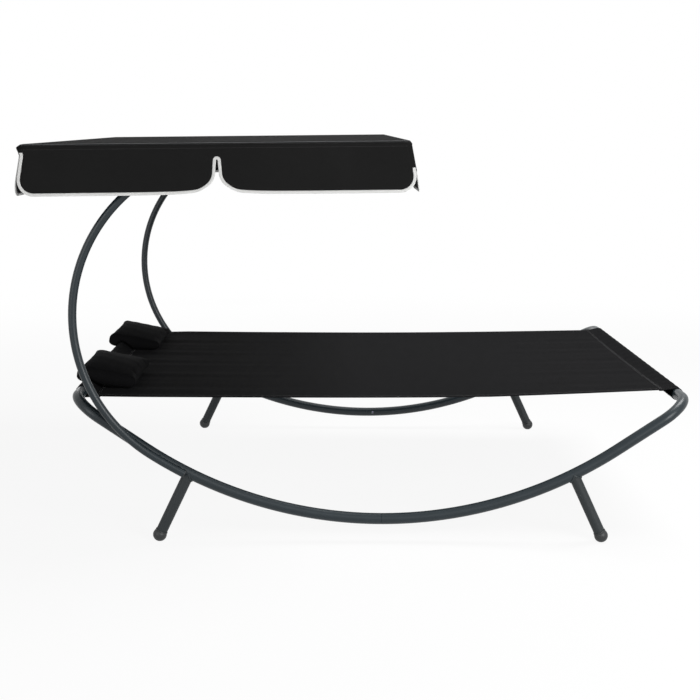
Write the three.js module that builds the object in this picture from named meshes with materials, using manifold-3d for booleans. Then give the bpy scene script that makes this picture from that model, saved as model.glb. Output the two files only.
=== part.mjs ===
// A two-person sun lounger. A fabric bed is stretched between the ends of two bowed side rails,
// and a fabric canopy tilts on two curved arms over the head end.
// Millimetres, +Z up, +X towards the foot end, +Y to the far side.
import * as THREE from "three";
import { mergeVertices } from "three/addons/utils/BufferGeometryUtils.js";
import Module from "manifold-3d";

const wasm = await Module();
wasm.setup();

const { PI, sin, cos, tan, sqrt, acos, asin, atan2, hypot } = Math;
const rad = THREE.MathUtils.degToRad;

// Bed frame, over its outsides
const bedLength = 1990;
const bedWidth = 1730;
const railOd = 36;
const railWall = 1.5;
const bowRadius = 1349; // of the bowed rails, to their centreline
const floorClearance = 56; // under the lowest point of the rails
const railSlope = rad(34); // of the straight ends of the rails
const cornerRadius = 100;
const spigotLength = 50;
const spigotMargin = 10; // straight tube left beyond a spigot's end
const collarLength = 8; // where a tube steps down to its spigot
const frameBoltInset = 25; // from the joint in a side rail to its bolt

// Legs and ball feet
const legOd = 36;
const legWall = 1.5;
const legTilt = rad(25.3);
const footSpread = 1420; // between the head and foot balls' centres
const ballRadius = 22;
const ballHeight = 20; // centre of the ball over the floor, under which it is cut flat
const footStemLength = 30;
const footStemTaper = 4;
const weldFlare = 4;
const weldHeight = 12;

// Canopy arms
const armOd = 26;
const armWall = 1.5;
const armRadius = 515;
const armLeaveAngle = rad(32.9); // on the bow, where the arm curves away from the rail
const armFootAngle = rad(27.7); // on the bow, where the arm ends above the leg
const armBoltAngles = [rad(28.7), rad(31.7)];
const armEndMargin = 15; // arm left beyond the pivot
const armSpacing = 4; // between the crests of rail and arm

// Canopy
const canopyLength = 1180;
const canopyTubeOd = 22;
const canopyTubeWall = 1.2;
const canopyTilt = rad(1); // as it stands, with its foot side up
const pivotReach = 512.5; // from the middle of the bed to the pivot, towards the head
const pivotDrop = 21; // of the pivot under the canopy tubes' centrelines
const pivotSpacerThickness = 12;
const pivotPlateThickness = 5;
const pivotPlateWidth = 26;
const plateWeldSink = 0.8; // of a tube's crest into its welded plate
const middleRailOffset = 60; // of the middle cross rail from the pivot, clear of the arms
const stubLength = 40;
const stubSink = 4; // of a stub into the tube that it is welded to
const valanceDepth = 156;
const longSideFlare = 12;
const endFlare = 25;
const foldRadius = 14;
const canopySag = 14;
const canopyHemInset = 34; // of the sagging field from the folds
const fieldLap = 6;
const slit = { top: 54, topWidth: 3, bottomWidth: 26, corner: 45 }; // between panels, from the fold down
const cornerSlit = { top: 32, inset: 3, corner: 60 }; // where two sides meet, from the corner's edge
const longSidePanels = 2;
const endPanels = 3;

// Cloth
const clothThickness = 2;
const slingMargin = 60; // from the bend of a rail to the bed cloth's side edge
const slingMiddleHeight = 443;
const sleeveLength = 42; // from a cross tube's centre to the sleeve's seam
const headSeamDrop = 11; // of the seam under the head cross tube's centre
const footSeamRise = 6; // of the seam over the foot cross tube's centre
const seamWidth = 8;

// Pillows
const pillowLength = 400;
const pillowWidth = 208;
const pillowThickness = 66;
const pillowCrown = 16;
const pillowDrawIn = 12;
const pillowSpacing = 800; // between the pillows' middles
const pillowOverhang = 42; // past the cross tube's centre

// Fasteners
const frameBolt = { shank: 3, head: 6, headHeight: 3.5, socket: 2.2, socketDepth: 2 };
const armBolt = { shank: 4, head: 7.5, headHeight: 4.5, socket: 2.8, socketDepth: 2.5 };
const canopyScrew = { shank: 2.5, head: 4.8, headHeight: 2.8, socket: 1.7, socketDepth: 1.6 };
const frameBoltLength = 14;
const armBoltEngagement = 10; // of an arm bolt inside the arm
const canopyScrewLength = 9;
const pivotShank = 4;
const pivotHead = 8;
const pivotHeadHeight = 4;
const spacerRadius = 10;
const pivotSpacerRadius = 11;
const plugFlange = 2.7;
const plugStem = 14;
const plugBevel = 1.5;
const washerRadius = 9;
const washerThickness = 2;

// Hand knobs
const knobRadius = 20;
const knobThickness = 14;
const knobBevel = 2;
const knobHubRadius = 9;
const knobHubLength = 6;
const knobLobes = 5;
const knobLobeShare = 0.09;
const knobBoreDepth = 14;

// Fits
const seatGap = 0.3;
const coverGap = 0.7; // between the canopy frame and its cloth
const holeGap = 0.35;
const overrun = 20; // of a cutting tool past what it cuts
const weld = 1e-3; // vertices nearer than this are one

// Facets
const tubeSides = 12;
const thinTubeSides = 10;
const boltSides = 8;
const ballSides = 16;
const bowSteps = 8;
const bendSteps = 5;
const armFootSteps = 3;
const armArcSteps = 15;
const ballArcs = 6;
const domeSteps = 2;
const plateSteps = 8;
const lobeSteps = 6;
const sagSteps = 12;
const sleeveSteps = 10;
const foldSteps = 4;
const slitSteps = 4;
const fieldSteps = [14, 6];
const pillowSteps = [10, 12, 3];

// Places that follow from the sizes
const railRadius = railOd / 2;
const railBore = railRadius - railWall;
const railY = bedWidth / 2 - railRadius;
const bowCentreZ = floorClearance + railRadius + bowRadius;
const crossX = bedLength / 2 - railRadius;
const bowEndX = bowRadius * sin(railSlope);
const bowEndZ = bowCentreZ - bowRadius * cos(railSlope);
const crossZ = bowEndZ + (crossX - bowEndX) * tan(railSlope);
const spigotReach = spigotLength + spigotMargin;
const railTail = slingMargin + spigotReach;
const spigotRadius = railBore - seatGap;
const spigotBore = spigotRadius - railWall;
const slingHalfWidth = railY - cornerRadius - slingMargin;
const seamX = crossX - sleeveLength;
const headSeamZ = crossZ - headSeamDrop;
const footSeamZ = crossZ + footSeamRise;

const legRadius = legOd / 2;
const footX = footSpread / 2;

const armR = armOd / 2;
const armY = railY + railRadius + armSpacing + armR;
const armCentreX = -(bowRadius - armRadius) * sin(armLeaveAngle);
const armCentreZ = bowCentreZ - (bowRadius - armRadius) * cos(armLeaveAngle);
const pivotX = -pivotReach;
const pivotAngle = asin((armCentreX - pivotX) / armRadius); // short of the arc's top
const pivotZ = armCentreZ + armRadius * cos(pivotAngle);

const canopyR = canopyTubeOd / 2;
const canopyBore = canopyR - canopyTubeWall;
const plateInnerY = armY + armR + seatGap + pivotSpacerThickness + seatGap;
const plateOuterY = plateInnerY + pivotPlateThickness;
const canopyRailY = plateOuterY + canopyR - plateWeldSink;
const coverHalfLength = canopyLength / 2;
const coverHalfWidth = canopyRailY + canopyR + coverGap + clothThickness;
const coverTopZ = pivotDrop + canopyR + coverGap + clothThickness;
const endRailX = coverHalfLength - foldRadius - canopyR;
const crossRailXs = { head: -endRailX, middle: middleRailOffset, foot: endRailX };
const sideRailHalf = endRailX + canopyR - seatGap;
const screwInset = canopyR + stubLength / 2; // from a side rail's centreline to its screws
const washerFaceY = armY - armR - seatGap - washerThickness;

// Materials
function finish(color, roughness, metalness) {
  return new THREE.MeshStandardMaterial({ color, roughness, metalness });
}
const paint = finish(0x3a4448, 0.45, 0.6);
const darkPaint = finish(0x2c3133, 0.5, 0.6);
const steel = finish(0x8d9092, 0.35, 1);
const plastic = finish(0x2a2d2f, 0.6, 0);
const bedCloth = finish(0x1b1b1c, 0.85, 0);
const canopyCloth = finish(0x17181a, 0.8, 0);
const pillowCloth = finish(0x111112, 0.9, 0);

// Solids and geometries
function solid(geometry) {
  const bare = geometry.clone();
  bare.deleteAttribute("normal");
  bare.deleteAttribute("uv");
  const merged = mergeVertices(bare, weld);
  const triVerts = new Uint32Array(merged.index.array);
  const vertProperties = merged.attributes.position.array;
  return new wasm.Manifold(new wasm.Mesh({ numProp: 3, vertProperties, triVerts }));
}

function geometryOf(body) {
  const mesh = body.getMesh();
  const geometry = new THREE.BufferGeometry();
  geometry.setAttribute("position", new THREE.BufferAttribute(mesh.vertProperties, mesh.numProp));
  geometry.setIndex(new THREE.BufferAttribute(mesh.triVerts, 1));
  geometry.computeVertexNormals();
  return geometry;
}

function joined(first, ...others) {
  return others.reduce((sum, other) => sum.add(other), first);
}

function cutBy(body, ...tools) {
  return tools.reduce((rest, tool) => rest.subtract(tool), body);
}

// A path of straight and round runs, each sampled at its own count of stations.
class RunPath extends THREE.Curve {
  constructor() {
    super();
    this.stations = [];
  }

  run(count, place) {
    const first = this.stations.length ? 1 : 0;
    for (let i = first; i <= count; i++) this.stations.push(place(i / count));
    return this;
  }

  get steps() {
    return this.stations.length - 1;
  }

  getPointAt(u) {
    return this.stations[Math.round(u * this.steps)].point.clone();
  }

  getTangentAt(u) {
    return this.stations[Math.round(u * this.steps)].tangent.clone();
  }
}

// A run round a centre, from one unit direction towards another.
function round(centre, from, towards, radius, sweep) {
  return (t) => {
    const turn = t * sweep;
    const outward = from.clone().multiplyScalar(cos(turn)).addScaledVector(towards, sin(turn));
    const tangent = towards.clone().multiplyScalar(cos(turn)).addScaledVector(from, -sin(turn));
    return { point: centre.clone().addScaledVector(outward, radius), tangent };
  };
}

function straight(start, along, length) {
  return (t) => {
    const point = start.clone().addScaledVector(along, t * length);
    return { point, tangent: along.clone() };
  };
}

// A round tube along a path. Its bore's flats, not its corners, lie at the inner radius.
function tube(path, outer, inner, sides) {
  const section = new THREE.Shape().absarc(0, 0, outer, 0, 2 * PI);
  const bore = inner / cos(PI / sides);
  if (inner) section.holes.push(new THREE.Path().absarc(0, 0, bore, 0, 2 * PI, true));
  return new THREE.ExtrudeGeometry(section, {
    steps: path.steps,
    extrudePath: path,
    curveSegments: sides / 2,
    bevelEnabled: false,
  });
}

// A turned piece on the Y axis, from a profile of [radius, height] pairs.
function turned(profile, sides) {
  return new THREE.LatheGeometry(
    profile.map(([r, h]) => new THREE.Vector2(r, h)),
    sides,
  );
}

function pipe(length, outer, inner, sides) {
  const bore = inner / cos(PI / sides);
  const half = length / 2;
  const profile = [[bore, -half], [outer, -half], [outer, half], [bore, half], [bore, -half]];
  return turned(profile, sides);
}

// A rod that clears a bore, with its flats at the radius.
function reamer(length, radius, sides) {
  const corner = radius / cos(PI / sides);
  return new THREE.CylinderGeometry(corner, corner, length, sides);
}

// A round pin along Y between two heights.
function pinY(radius, x, z, y0, y1, sides = boltSides) {
  const pin = new THREE.CylinderGeometry(radius, radius, y1 - y0, sides);
  return solid(pin.translate(x, (y0 + y1) / 2, z));
}

// A button-head bolt on the Y axis, with its head above zero and its shank below.
function bolt(size, length) {
  const floor = size.headHeight - size.socketDepth;
  const profile = [[0, -length], [size.shank, -length], [size.shank, 0], [size.head, 0]];
  for (let i = 1; i <= domeSteps; i++) {
    const turn = (i / domeSteps) * acos(size.socket / size.head);
    profile.push([size.head * cos(turn), size.headHeight * sin(turn)]);
  }
  profile.push([size.socket, floor], [0, floor]);
  return turned(profile, boltSides);
}

// Points and directions on the bow of a side rail, by the angle from its lowest point.
function bowDirection(angle) {
  return new THREE.Vector3(sin(angle), 0, -cos(angle));
}

function bowTangent(angle) {
  return new THREE.Vector3(cos(angle), 0, sin(angle));
}

function bowPoint(angle, y) {
  return new THREE.Vector3(0, y, bowCentreZ).addScaledVector(bowDirection(angle), bowRadius);
}

function bowRun(y, start, end) {
  const centre = new THREE.Vector3(0, y, bowCentreZ);
  return round(centre, bowDirection(start), bowTangent(start), bowRadius, end - start);
}

// Side rails: a bow, a straight end and a corner that turns in to the cross tube.
function railPath(start) {
  const slope = bowTangent(railSlope);
  const straightLength = (crossX - bowEndX) / cos(railSlope) - cornerRadius;
  const straightStart = bowPoint(railSlope, railY);
  const cornerStart = straightStart.clone().addScaledVector(slope, straightLength);
  const outward = new THREE.Vector3(0, 1, 0);
  const inward = new THREE.Vector3(0, -1, 0);
  const cornerCentre = cornerStart.clone().addScaledVector(inward, cornerRadius);
  const tailStart = cornerCentre.clone().addScaledVector(slope, cornerRadius);
  const spigotEnd = spigotReach / bowRadius;
  return new RunPath()
    .run(1, bowRun(railY, start, spigotEnd))
    .run(bowSteps, bowRun(railY, spigotEnd, railSlope))
    .run(1, straight(straightStart, slope, straightLength))
    .run(bendSteps, round(cornerCentre, outward, slope, cornerRadius, PI / 2))
    .run(1, straight(tailStart, inward, railTail));
}

const railEnvelope = solid(tube(railPath(0), railRadius + seatGap, 0, tubeSides));

// A hole for a bolt from inside a side rail out to a given place, at an angle on the bow.
function boltHole(size, angle, outerY = railY) {
  const at = bowPoint(angle, railY);
  return pinY(size.shank + holeGap, at.x, at.z, railY - railRadius - overrun, outerY);
}

function footRail() {
  const body = solid(tube(railPath(seatGap / bowRadius), railRadius, railBore, tubeSides));
  return geometryOf(cutBy(body, boltHole(frameBolt, frameBoltInset / bowRadius)));
}

// The head rail's spigot enters the foot rail: it is drawn in the same quarter, and mirrored with it.
function headRail() {
  const body = solid(tube(railPath(0), railRadius, railBore, tubeSides));
  const collarPath = new RunPath().run(1, bowRun(railY, 0, collarLength / bowRadius));
  const spigotPath = new RunPath()
    .run(1, bowRun(railY, -spigotLength / bowRadius, 0))
    .run(1, bowRun(railY, 0, collarLength / bowRadius));
  const collarOuter = railRadius - railWall / 2;
  const collarInner = spigotRadius - railWall / 2;
  const collar = solid(tube(collarPath, collarOuter, collarInner, tubeSides));
  const spigot = solid(tube(spigotPath, spigotRadius, spigotBore, tubeSides));
  const holes = armBoltAngles.map((angle) => boltHole(armBolt, angle, railY + railRadius + overrun));
  holes.push(boltHole(frameBolt, -frameBoltInset / bowRadius));
  return geometryOf(cutBy(joined(body, collar, spigot), ...holes));
}

// A cross tube steps down to a spigot at each end, which enters the rails' tails.
function crossTube() {
  const shoulder = railY - cornerRadius - railTail - seatGap;
  const end = shoulder + spigotLength;
  const inner = spigotBore / cos(PI / tubeSides);
  const profile = [
    [inner, -end],
    [spigotRadius, -end],
    [spigotRadius, -shoulder],
    [railRadius, -shoulder],
    [railRadius, shoulder],
    [spigotRadius, shoulder],
    [spigotRadius, end],
    [inner, end],
    [inner, -end],
  ];
  return turned(profile, tubeSides);
}

// Legs: a tube coped to the rail above it, with a weld that spreads along the rail.
const legUp = new THREE.Vector3(-sin(legTilt), 0, cos(legTilt));
const ballCentre = new THREE.Vector3(footX, railY, ballHeight);
const ballSeat = sqrt(ballRadius ** 2 - legRadius ** 2); // of the leg's end over the ball's centre

// Length from the ball's centre up the leg's line to the bow's centreline.
function legReach() {
  const fromCentre = ballCentre.clone().sub(new THREE.Vector3(0, railY, bowCentreZ));
  const along = fromCentre.dot(legUp);
  return -along - sqrt(along ** 2 - fromCentre.lengthSq() + bowRadius ** 2);
}

// Turns a piece made on the Y axis onto the leg's line, measured from the ball's centre.
function onLeg(geometry) {
  return geometry.rotateX(PI / 2).rotateY(-legTilt).translate(ballCentre.x, ballCentre.y, ballCentre.z);
}

function leg() {
  const reach = legReach();
  const start = ballSeat + seatGap;
  const length = reach - start;
  const straightTube = pipe(length, legRadius, legRadius - legWall, tubeSides);
  const body = solid(onLeg(straightTube.translate(0, start + length / 2, 0)));
  const flareRadius = legRadius + weldFlare;
  const flareStart = reach - railRadius - weldHeight;
  const flareLength = weldHeight + railRadius;
  const flareFoot = legRadius - legWall / 2;
  const flare = new THREE.CylinderGeometry(flareRadius, flareFoot, flareLength, tubeSides);
  flare.translate(0, flareStart + flareLength / 2, 0).scale(1, 1, legRadius / flareRadius);
  const bore = reamer(reach, legRadius - legWall, tubeSides).translate(0, reach / 2, 0);
  const weldBead = cutBy(solid(onLeg(flare)), solid(onLeg(bore)));
  return geometryOf(cutBy(joined(body, weldBead), railEnvelope));
}

// A ball foot with a stem up inside the leg, cut flat where it stands.
function ballFoot() {
  const stemRadius = legRadius - legWall - seatGap;
  const top = PI / 2 + asin(ballSeat / ballRadius);
  const profile = [];
  for (let i = 0; i <= ballArcs; i++) {
    const turn = (i / ballArcs) * top;
    profile.push([ballRadius * sin(turn), -ballRadius * cos(turn)]);
  }
  const stemTop = ballSeat + footStemLength;
  profile.push([stemRadius, ballSeat], [stemRadius, stemTop - footStemTaper]);
  profile.push([stemRadius - footStemTaper, stemTop], [0, stemTop]);
  const floorWidth = 2 * (ballRadius + overrun);
  const floor = new THREE.BoxGeometry(floorWidth, floorWidth, overrun);
  floor.translate(footX, railY, -overrun / 2);
  return geometryOf(cutBy(solid(onLeg(turned(profile, ballSides))), solid(floor)));
}

// Canopy arms: along the outside of the head rail, then round over the bed to the pivot.
function armPath() {
  const along = (angle) => bowTangent(-angle).negate();
  const bow = new THREE.Vector3(0, armY, bowCentreZ);
  const centre = new THREE.Vector3(armCentreX, armY, armCentreZ);
  const footStretch = armLeaveAngle - armFootAngle;
  const sweep = PI - armLeaveAngle - pivotAngle;
  const footOut = bowDirection(-armFootAngle);
  const leaveOut = bowDirection(-armLeaveAngle);
  const pivot = new THREE.Vector3(pivotX, armY, pivotZ);
  const endDirection = new THREE.Vector3(cos(pivotAngle), 0, sin(pivotAngle));
  return new RunPath()
    .run(armFootSteps, round(bow, footOut, along(armFootAngle), bowRadius, footStretch))
    .run(armArcSteps, round(centre, leaveOut, along(armLeaveAngle), armRadius, sweep))
    .run(1, straight(pivot, endDirection, armEndMargin));
}

const armEnvelope = solid(tube(armPath(), armR + seatGap, 0, thinTubeSides));

function canopyArm() {
  const holes = armBoltAngles.map((angle) => {
    const at = bowPoint(-angle, armY);
    return pinY(armBolt.shank + holeGap, at.x, at.z, armY - armR - overrun, armY);
  });
  const reach = armR + overrun;
  const pivotHole = pinY(pivotShank + holeGap, pivotX, pivotZ, armY - reach, armY + reach);
  const body = solid(tube(armPath(), armR, armR - armWall, thinTubeSides));
  return geometryOf(cutBy(body, ...holes, pivotHole));
}

// A domed plug for a tube's end: its stem is below zero, and its flange closes the tube.
function plug(outer, bore, length, sides) {
  const stem = bore - seatGap;
  return turned(
    [
      [0, -length],
      [stem - plugBevel, -length],
      [stem, -length + plugBevel],
      [stem, 0],
      [outer, 0],
      [outer, plugFlange - plugBevel],
      [outer - plugBevel, plugFlange],
      [0, plugFlange],
    ],
    sides,
  );
}

// A plug set on the end of the arm's path, pointing out of the tube.
function armPlug(end) {
  const path = armPath();
  const point = path.getPointAt(end);
  const out = path.getTangentAt(end).multiplyScalar(end ? 1 : -1);
  const length = end ? armEndMargin - pivotShank - plugBevel : plugStem;
  const geometry = plug(armR, armR - armWall, length, thinTubeSides);
  const turn = new THREE.Quaternion().setFromUnitVectors(new THREE.Vector3(0, 1, 0), out);
  const seat = point.addScaledVector(out, seatGap);
  return geometry.applyQuaternion(turn).translate(seat.x, seat.y, seat.z);
}

// A saddle spacer between the round faces of rail and arm.
function armSpacer(angle) {
  const at = bowPoint(-angle, railY);
  const mirroredRail = railEnvelope.mirror([1, 0, 0]);
  const body = pinY(spacerRadius, at.x, at.z, railY, armY, tubeSides);
  const hole = pinY(armBolt.shank + holeGap, at.x, at.z, railY - overrun, armY + overrun);
  return geometryOf(cutBy(body, mirroredRail, armEnvelope, hole));
}

// The arm's bolts come from inside the bed, so that only the arm shows outside.
function armBoltPiece(angle) {
  const at = bowPoint(-angle, railY);
  const headSeat = railY - railRadius - seatGap;
  const length = armY - armR + armBoltEngagement - headSeat;
  return bolt(armBolt, length).rotateX(PI).translate(at.x, headSeat, at.z);
}

function frameBoltPiece() {
  const at = bowPoint(frameBoltInset / bowRadius, railY);
  const headSeat = railY - railRadius - seatGap;
  return bolt(frameBolt, frameBoltLength).rotateX(PI).translate(at.x, headSeat, at.z);
}

// The bed cloth: a sagging sheet with a teardrop sleeve round each cross tube, drawn in X and Z.
function tangentTurn(from, centre, radius) {
  const toPoint = atan2(from.y - centre.y, from.x - centre.x);
  return [toPoint, acos(radius / hypot(from.x - centre.x, from.y - centre.y))];
}

// Height of the sheet's middle face: a parabola through its two seams and its middle.
function sheetHeight(x) {
  const slope = (footSeamZ - headSeamZ) / 2;
  const rise = (footSeamZ + headSeamZ) / 2 - slingMiddleHeight;
  return slingMiddleHeight + (slope * x) / seamX + rise * (x / seamX) ** 2;
}

function slingShape() {
  const half = clothThickness / 2;
  const inner = railRadius + seatGap;
  const outer = inner + clothThickness;
  const shape = new THREE.Shape();
  for (let i = -sagSteps; i <= sagSteps; i++) {
    const x = (seamX * i) / sagSteps;
    if (i === -sagSteps) shape.moveTo(x, sheetHeight(x) - half);
    else shape.lineTo(x, sheetHeight(x) - half);
  }
  for (const end of [1, -1]) {
    const seamZ = sheetHeight(end * seamX);
    const centre = new THREE.Vector2(end * crossX, crossZ);
    const [middle, spread] = tangentTurn(new THREE.Vector2(end * seamX, seamZ), centre, outer);
    shape.absarc(centre.x, centre.y, outer, middle + spread, middle - spread + 2 * PI);
    for (let i = sagSteps; i >= -sagSteps && end > 0; i--) {
      const x = (seamX * i) / sagSteps;
      shape.lineTo(x, sheetHeight(x) + half);
    }
    const apex = new THREE.Vector2(end * (seamX + seamWidth), seamZ);
    const [holeMiddle, holeSpread] = tangentTurn(apex, centre, inner);
    const start = holeMiddle + holeSpread;
    const hole = new THREE.Path().moveTo(apex.x, apex.y);
    hole.lineTo(centre.x + inner * cos(start), centre.y + inner * sin(start));
    hole.absarc(centre.x, centre.y, inner, start, holeMiddle - holeSpread + 2 * PI);
    shape.holes.push(hole);
  }
  return shape;
}

function sling() {
  const geometry = new THREE.ExtrudeGeometry(slingShape(), {
    depth: 2 * slingHalfWidth,
    curveSegments: sleeveSteps,
    bevelEnabled: false,
  });
  return geometry.rotateX(PI / 2).translate(0, slingHalfWidth, 0);
}

// Pillows: a crowned block with its sides drawn in between its corners, flat underneath.
function pillow() {
  const geometry = new THREE.BoxGeometry(2, 2, 2, ...pillowSteps);
  const place = geometry.attributes.position;
  for (let i = 0; i < place.count; i++) {
    const a = place.getX(i);
    const b = place.getY(i);
    const c = place.getZ(i);
    const drawIn = pillowDrawIn * (1 - sqrt(1 - c * c));
    const x = a * (pillowWidth / 2 - drawIn * (2 - b * b));
    const y = b * (pillowLength / 2 - drawIn * (2 - a * a));
    const crown = pillowCrown * sqrt((1 - a ** 4) * (1 - b ** 4));
    const body = ((pillowThickness - pillowCrown) * (1 + c)) / 2;
    place.setXYZ(i, x, y, body + (crown * (1 + c)) / 2);
  }
  return geometry;
}

// The pillow leans on the sleeve over the head cross tube and lies down on the sagging sheet.
function pillowPlace() {
  const rest = railRadius + seatGap + clothThickness + seatGap;
  const frontX = -crossX - pillowOverhang + pillowWidth;
  const frontZ = sheetHeight(frontX) + clothThickness / 2 + seatGap;
  const reachX = frontX + crossX;
  const reachZ = frontZ - crossZ;
  const lean = asin(rest / hypot(reachX, reachZ)) - atan2(reachZ, reachX);
  return { x: frontX, z: frontZ, lean };
}

// Canopy frame, measured from the pivot
function canopySideRail() {
  const rail = pipe(2 * sideRailHalf, canopyR, canopyBore, thinTubeSides).rotateZ(-PI / 2);
  rail.translate(0, canopyRailY, pivotDrop);
  const plateShape = new THREE.Shape();
  const half = pivotPlateWidth / 2;
  plateShape.absarc(0, 0, half, PI, 2 * PI);
  plateShape.absarc(0, pivotDrop, canopyR, 0, PI);
  const plate = new THREE.ExtrudeGeometry(plateShape, {
    depth: pivotPlateThickness,
    curveSegments: plateSteps,
    bevelEnabled: false,
  });
  plate.rotateX(PI / 2).translate(0, plateOuterY, 0);
  const stubs = Object.values(crossRailXs).map((x) => {
    const outer = canopyRailY - canopyR + stubSink;
    const length = stubLength + stubSink;
    const stubRadius = canopyBore - seatGap;
    const stub = pipe(length, stubRadius, stubRadius - canopyTubeWall, thinTubeSides);
    return solid(stub.translate(x, outer - length / 2, pivotDrop));
  });
  const bore = reamer(canopyLength, canopyBore, thinTubeSides).rotateZ(-PI / 2);
  bore.translate(0, canopyRailY, pivotDrop);
  const sinkDepth = pivotHeadHeight + holeGap;
  const sinkTop = pivotHead + holeGap;
  const sinkFoot = pivotShank + holeGap;
  const countersink = new THREE.CylinderGeometry(sinkTop, sinkFoot, sinkDepth, boltSides);
  countersink.translate(0, plateOuterY - sinkDepth / 2, 0);
  const pivotHole = pinY(pivotShank + holeGap, 0, 0, plateInnerY - overrun, plateOuterY);
  const body = joined(solid(rail), ...stubs, solid(plate));
  return geometryOf(cutBy(body, solid(bore), pivotHole, solid(countersink), ...screwHoles()));
}

function screwHoles() {
  const radius = canopyScrew.shank + holeGap;
  const depth = canopyR + overrun;
  return Object.values(crossRailXs).map((x) => {
    const hole = new THREE.CylinderGeometry(radius, radius, depth, boltSides).rotateX(PI / 2);
    return solid(hole.translate(x, canopyRailY - screwInset, pivotDrop - depth / 2));
  });
}

function crossRail(x) {
  const body = pipe(2 * canopyRailY, canopyR, canopyBore, thinTubeSides);
  body.translate(x, 0, pivotDrop);
  const copeRadius = canopyR + seatGap;
  const cope = new THREE.CylinderGeometry(copeRadius, copeRadius, canopyLength, thinTubeSides);
  cope.rotateZ(-PI / 2).translate(0, canopyRailY, pivotDrop);
  const outside = new THREE.BoxGeometry(canopyLength, overrun, 2 * (canopyR + overrun));
  outside.translate(0, canopyRailY + overrun / 2, pivotDrop);
  const tools = [solid(cope), solid(outside), ...screwHoles()];
  const farTools = tools.map((tool) => tool.mirror([0, 1, 0]));
  return geometryOf(cutBy(solid(body), ...tools, ...farTools));
}

function canopyScrewPiece(x) {
  const geometry = bolt(canopyScrew, canopyScrewLength).rotateX(-PI / 2);
  return geometry.translate(x, canopyRailY - screwInset, pivotDrop - canopyR - seatGap);
}

function sideRailPlug(end) {
  const geometry = plug(canopyR, canopyBore, plugStem, thinTubeSides).rotateZ((-end * PI) / 2);
  return geometry.translate(end * (sideRailHalf + seatGap), canopyRailY, pivotDrop);
}

// The pivot: a countersunk bolt through plate, spacer, arm and washer into a hand knob.
function pivotBolt() {
  const headY = plateOuterY - seatGap / 2;
  const tip = washerFaceY - seatGap - knobBoreDepth + holeGap;
  return turned(
    [
      [0, tip],
      [pivotShank, tip],
      [pivotShank, headY - pivotHeadHeight],
      [pivotHead, headY],
      [0, headY],
    ],
    boltSides,
  );
}

function pivotSpacer() {
  const outerY = plateInnerY - seatGap;
  const body = pinY(pivotSpacerRadius, pivotX, pivotZ, armY, outerY, tubeSides);
  const hole = pinY(pivotShank + holeGap, pivotX, pivotZ, armY - overrun, plateInnerY + overrun);
  return geometryOf(cutBy(body, armEnvelope, hole));
}

function knobWasher() {
  const body = pinY(washerRadius, pivotX, pivotZ, washerFaceY, armY, tubeSides);
  const innerY = washerFaceY - overrun;
  const hole = pinY(pivotShank + holeGap, pivotX, pivotZ, innerY, armY + overrun);
  return geometryOf(cutBy(body, armEnvelope, hole));
}

function knob() {
  const points = [];
  const steps = lobeSteps * knobLobes;
  for (let i = 0; i < steps; i++) {
    const turn = (i / steps) * 2 * PI;
    const lobe = knobLobeShare * (cos(knobLobes * turn) - 1);
    const reach = (knobRadius - knobBevel) * (1 + lobe);
    points.push(new THREE.Vector2(reach * cos(turn), reach * sin(turn)));
  }
  const head = new THREE.ExtrudeGeometry(new THREE.Shape(points), {
    depth: knobThickness - 2 * knobBevel,
    bevelThickness: knobBevel,
    bevelSize: knobBevel,
    bevelSegments: 1,
  });
  const face = washerFaceY - seatGap;
  const headTop = face - knobHubLength;
  head.rotateX(PI / 2).translate(0, headTop - knobBevel, 0);
  const hub = pinY(knobHubRadius, 0, 0, headTop - knobThickness / 2, face, tubeSides);
  const bore = pinY(pivotShank + holeGap, 0, 0, face - knobBoreDepth, face + overrun);
  return geometryOf(cutBy(joined(solid(head), hub), bore));
}

// Canopy cover: a hood with rounded folds over the frame, a sagging field and valance panels.
function hoodProfile(half, top, fold, flare, depth) {
  const spread = flare * ((depth - foldRadius) / (valanceDepth - foldRadius));
  const shape = new THREE.Shape();
  shape.moveTo(-half - spread, -depth);
  shape.lineTo(half + spread, -depth);
  shape.lineTo(half, -foldRadius);
  shape.absarc(half - fold, -foldRadius, fold, 0, PI / 2);
  shape.absarc(-half + fold, -foldRadius, fold, PI / 2, PI);
  return shape;
}

function hood(inset, depth) {
  const fold = foldRadius - inset;
  const reach = 2 * (coverHalfWidth + coverHalfLength);
  const settings = { depth: reach, curveSegments: foldSteps, bevelEnabled: false };
  const lengthwise = hoodProfile(coverHalfLength - inset, -inset, fold, endFlare, depth);
  const widthwise = hoodProfile(coverHalfWidth - inset, -inset, fold, longSideFlare, depth);
  const across = new THREE.ExtrudeGeometry(lengthwise, settings);
  across.translate(0, 0, -reach / 2).rotateX(PI / 2);
  const along = new THREE.ExtrudeGeometry(widthwise, settings);
  along.translate(0, 0, -reach / 2).rotateX(PI / 2).rotateZ(PI / 2);
  return solid(across).intersect(solid(along));
}

// How far the field hangs between the cross rails, at a place on it.
function fieldSag(x, y, halfX, halfY) {
  const bays = [-halfX, middleRailOffset, halfX];
  const bay = x < middleRailOffset ? 0 : 1;
  const share = (x - bays[bay]) / (bays[bay + 1] - bays[bay]);
  const across = Math.min(1, Math.abs(y) / halfY);
  return canopySag * sin(PI * share) ** 2 * cos((PI / 2) * across) ** 2;
}

function field() {
  const halfX = coverHalfLength - canopyHemInset;
  const halfY = coverHalfWidth - canopyHemInset;
  const lapX = 2 * (halfX + fieldLap);
  const lapY = 2 * (halfY + fieldLap);
  const geometry = new THREE.BoxGeometry(lapX, lapY, clothThickness, ...fieldSteps, 1);
  geometry.translate(0, 0, -clothThickness / 2);
  const place = geometry.attributes.position;
  for (let i = 0; i < place.count; i++) {
    const x = THREE.MathUtils.clamp(place.getX(i), -halfX, halfX);
    place.setZ(i, place.getZ(i) - fieldSag(x, place.getY(i), halfX, halfY));
  }
  return solid(geometry);
}

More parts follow.
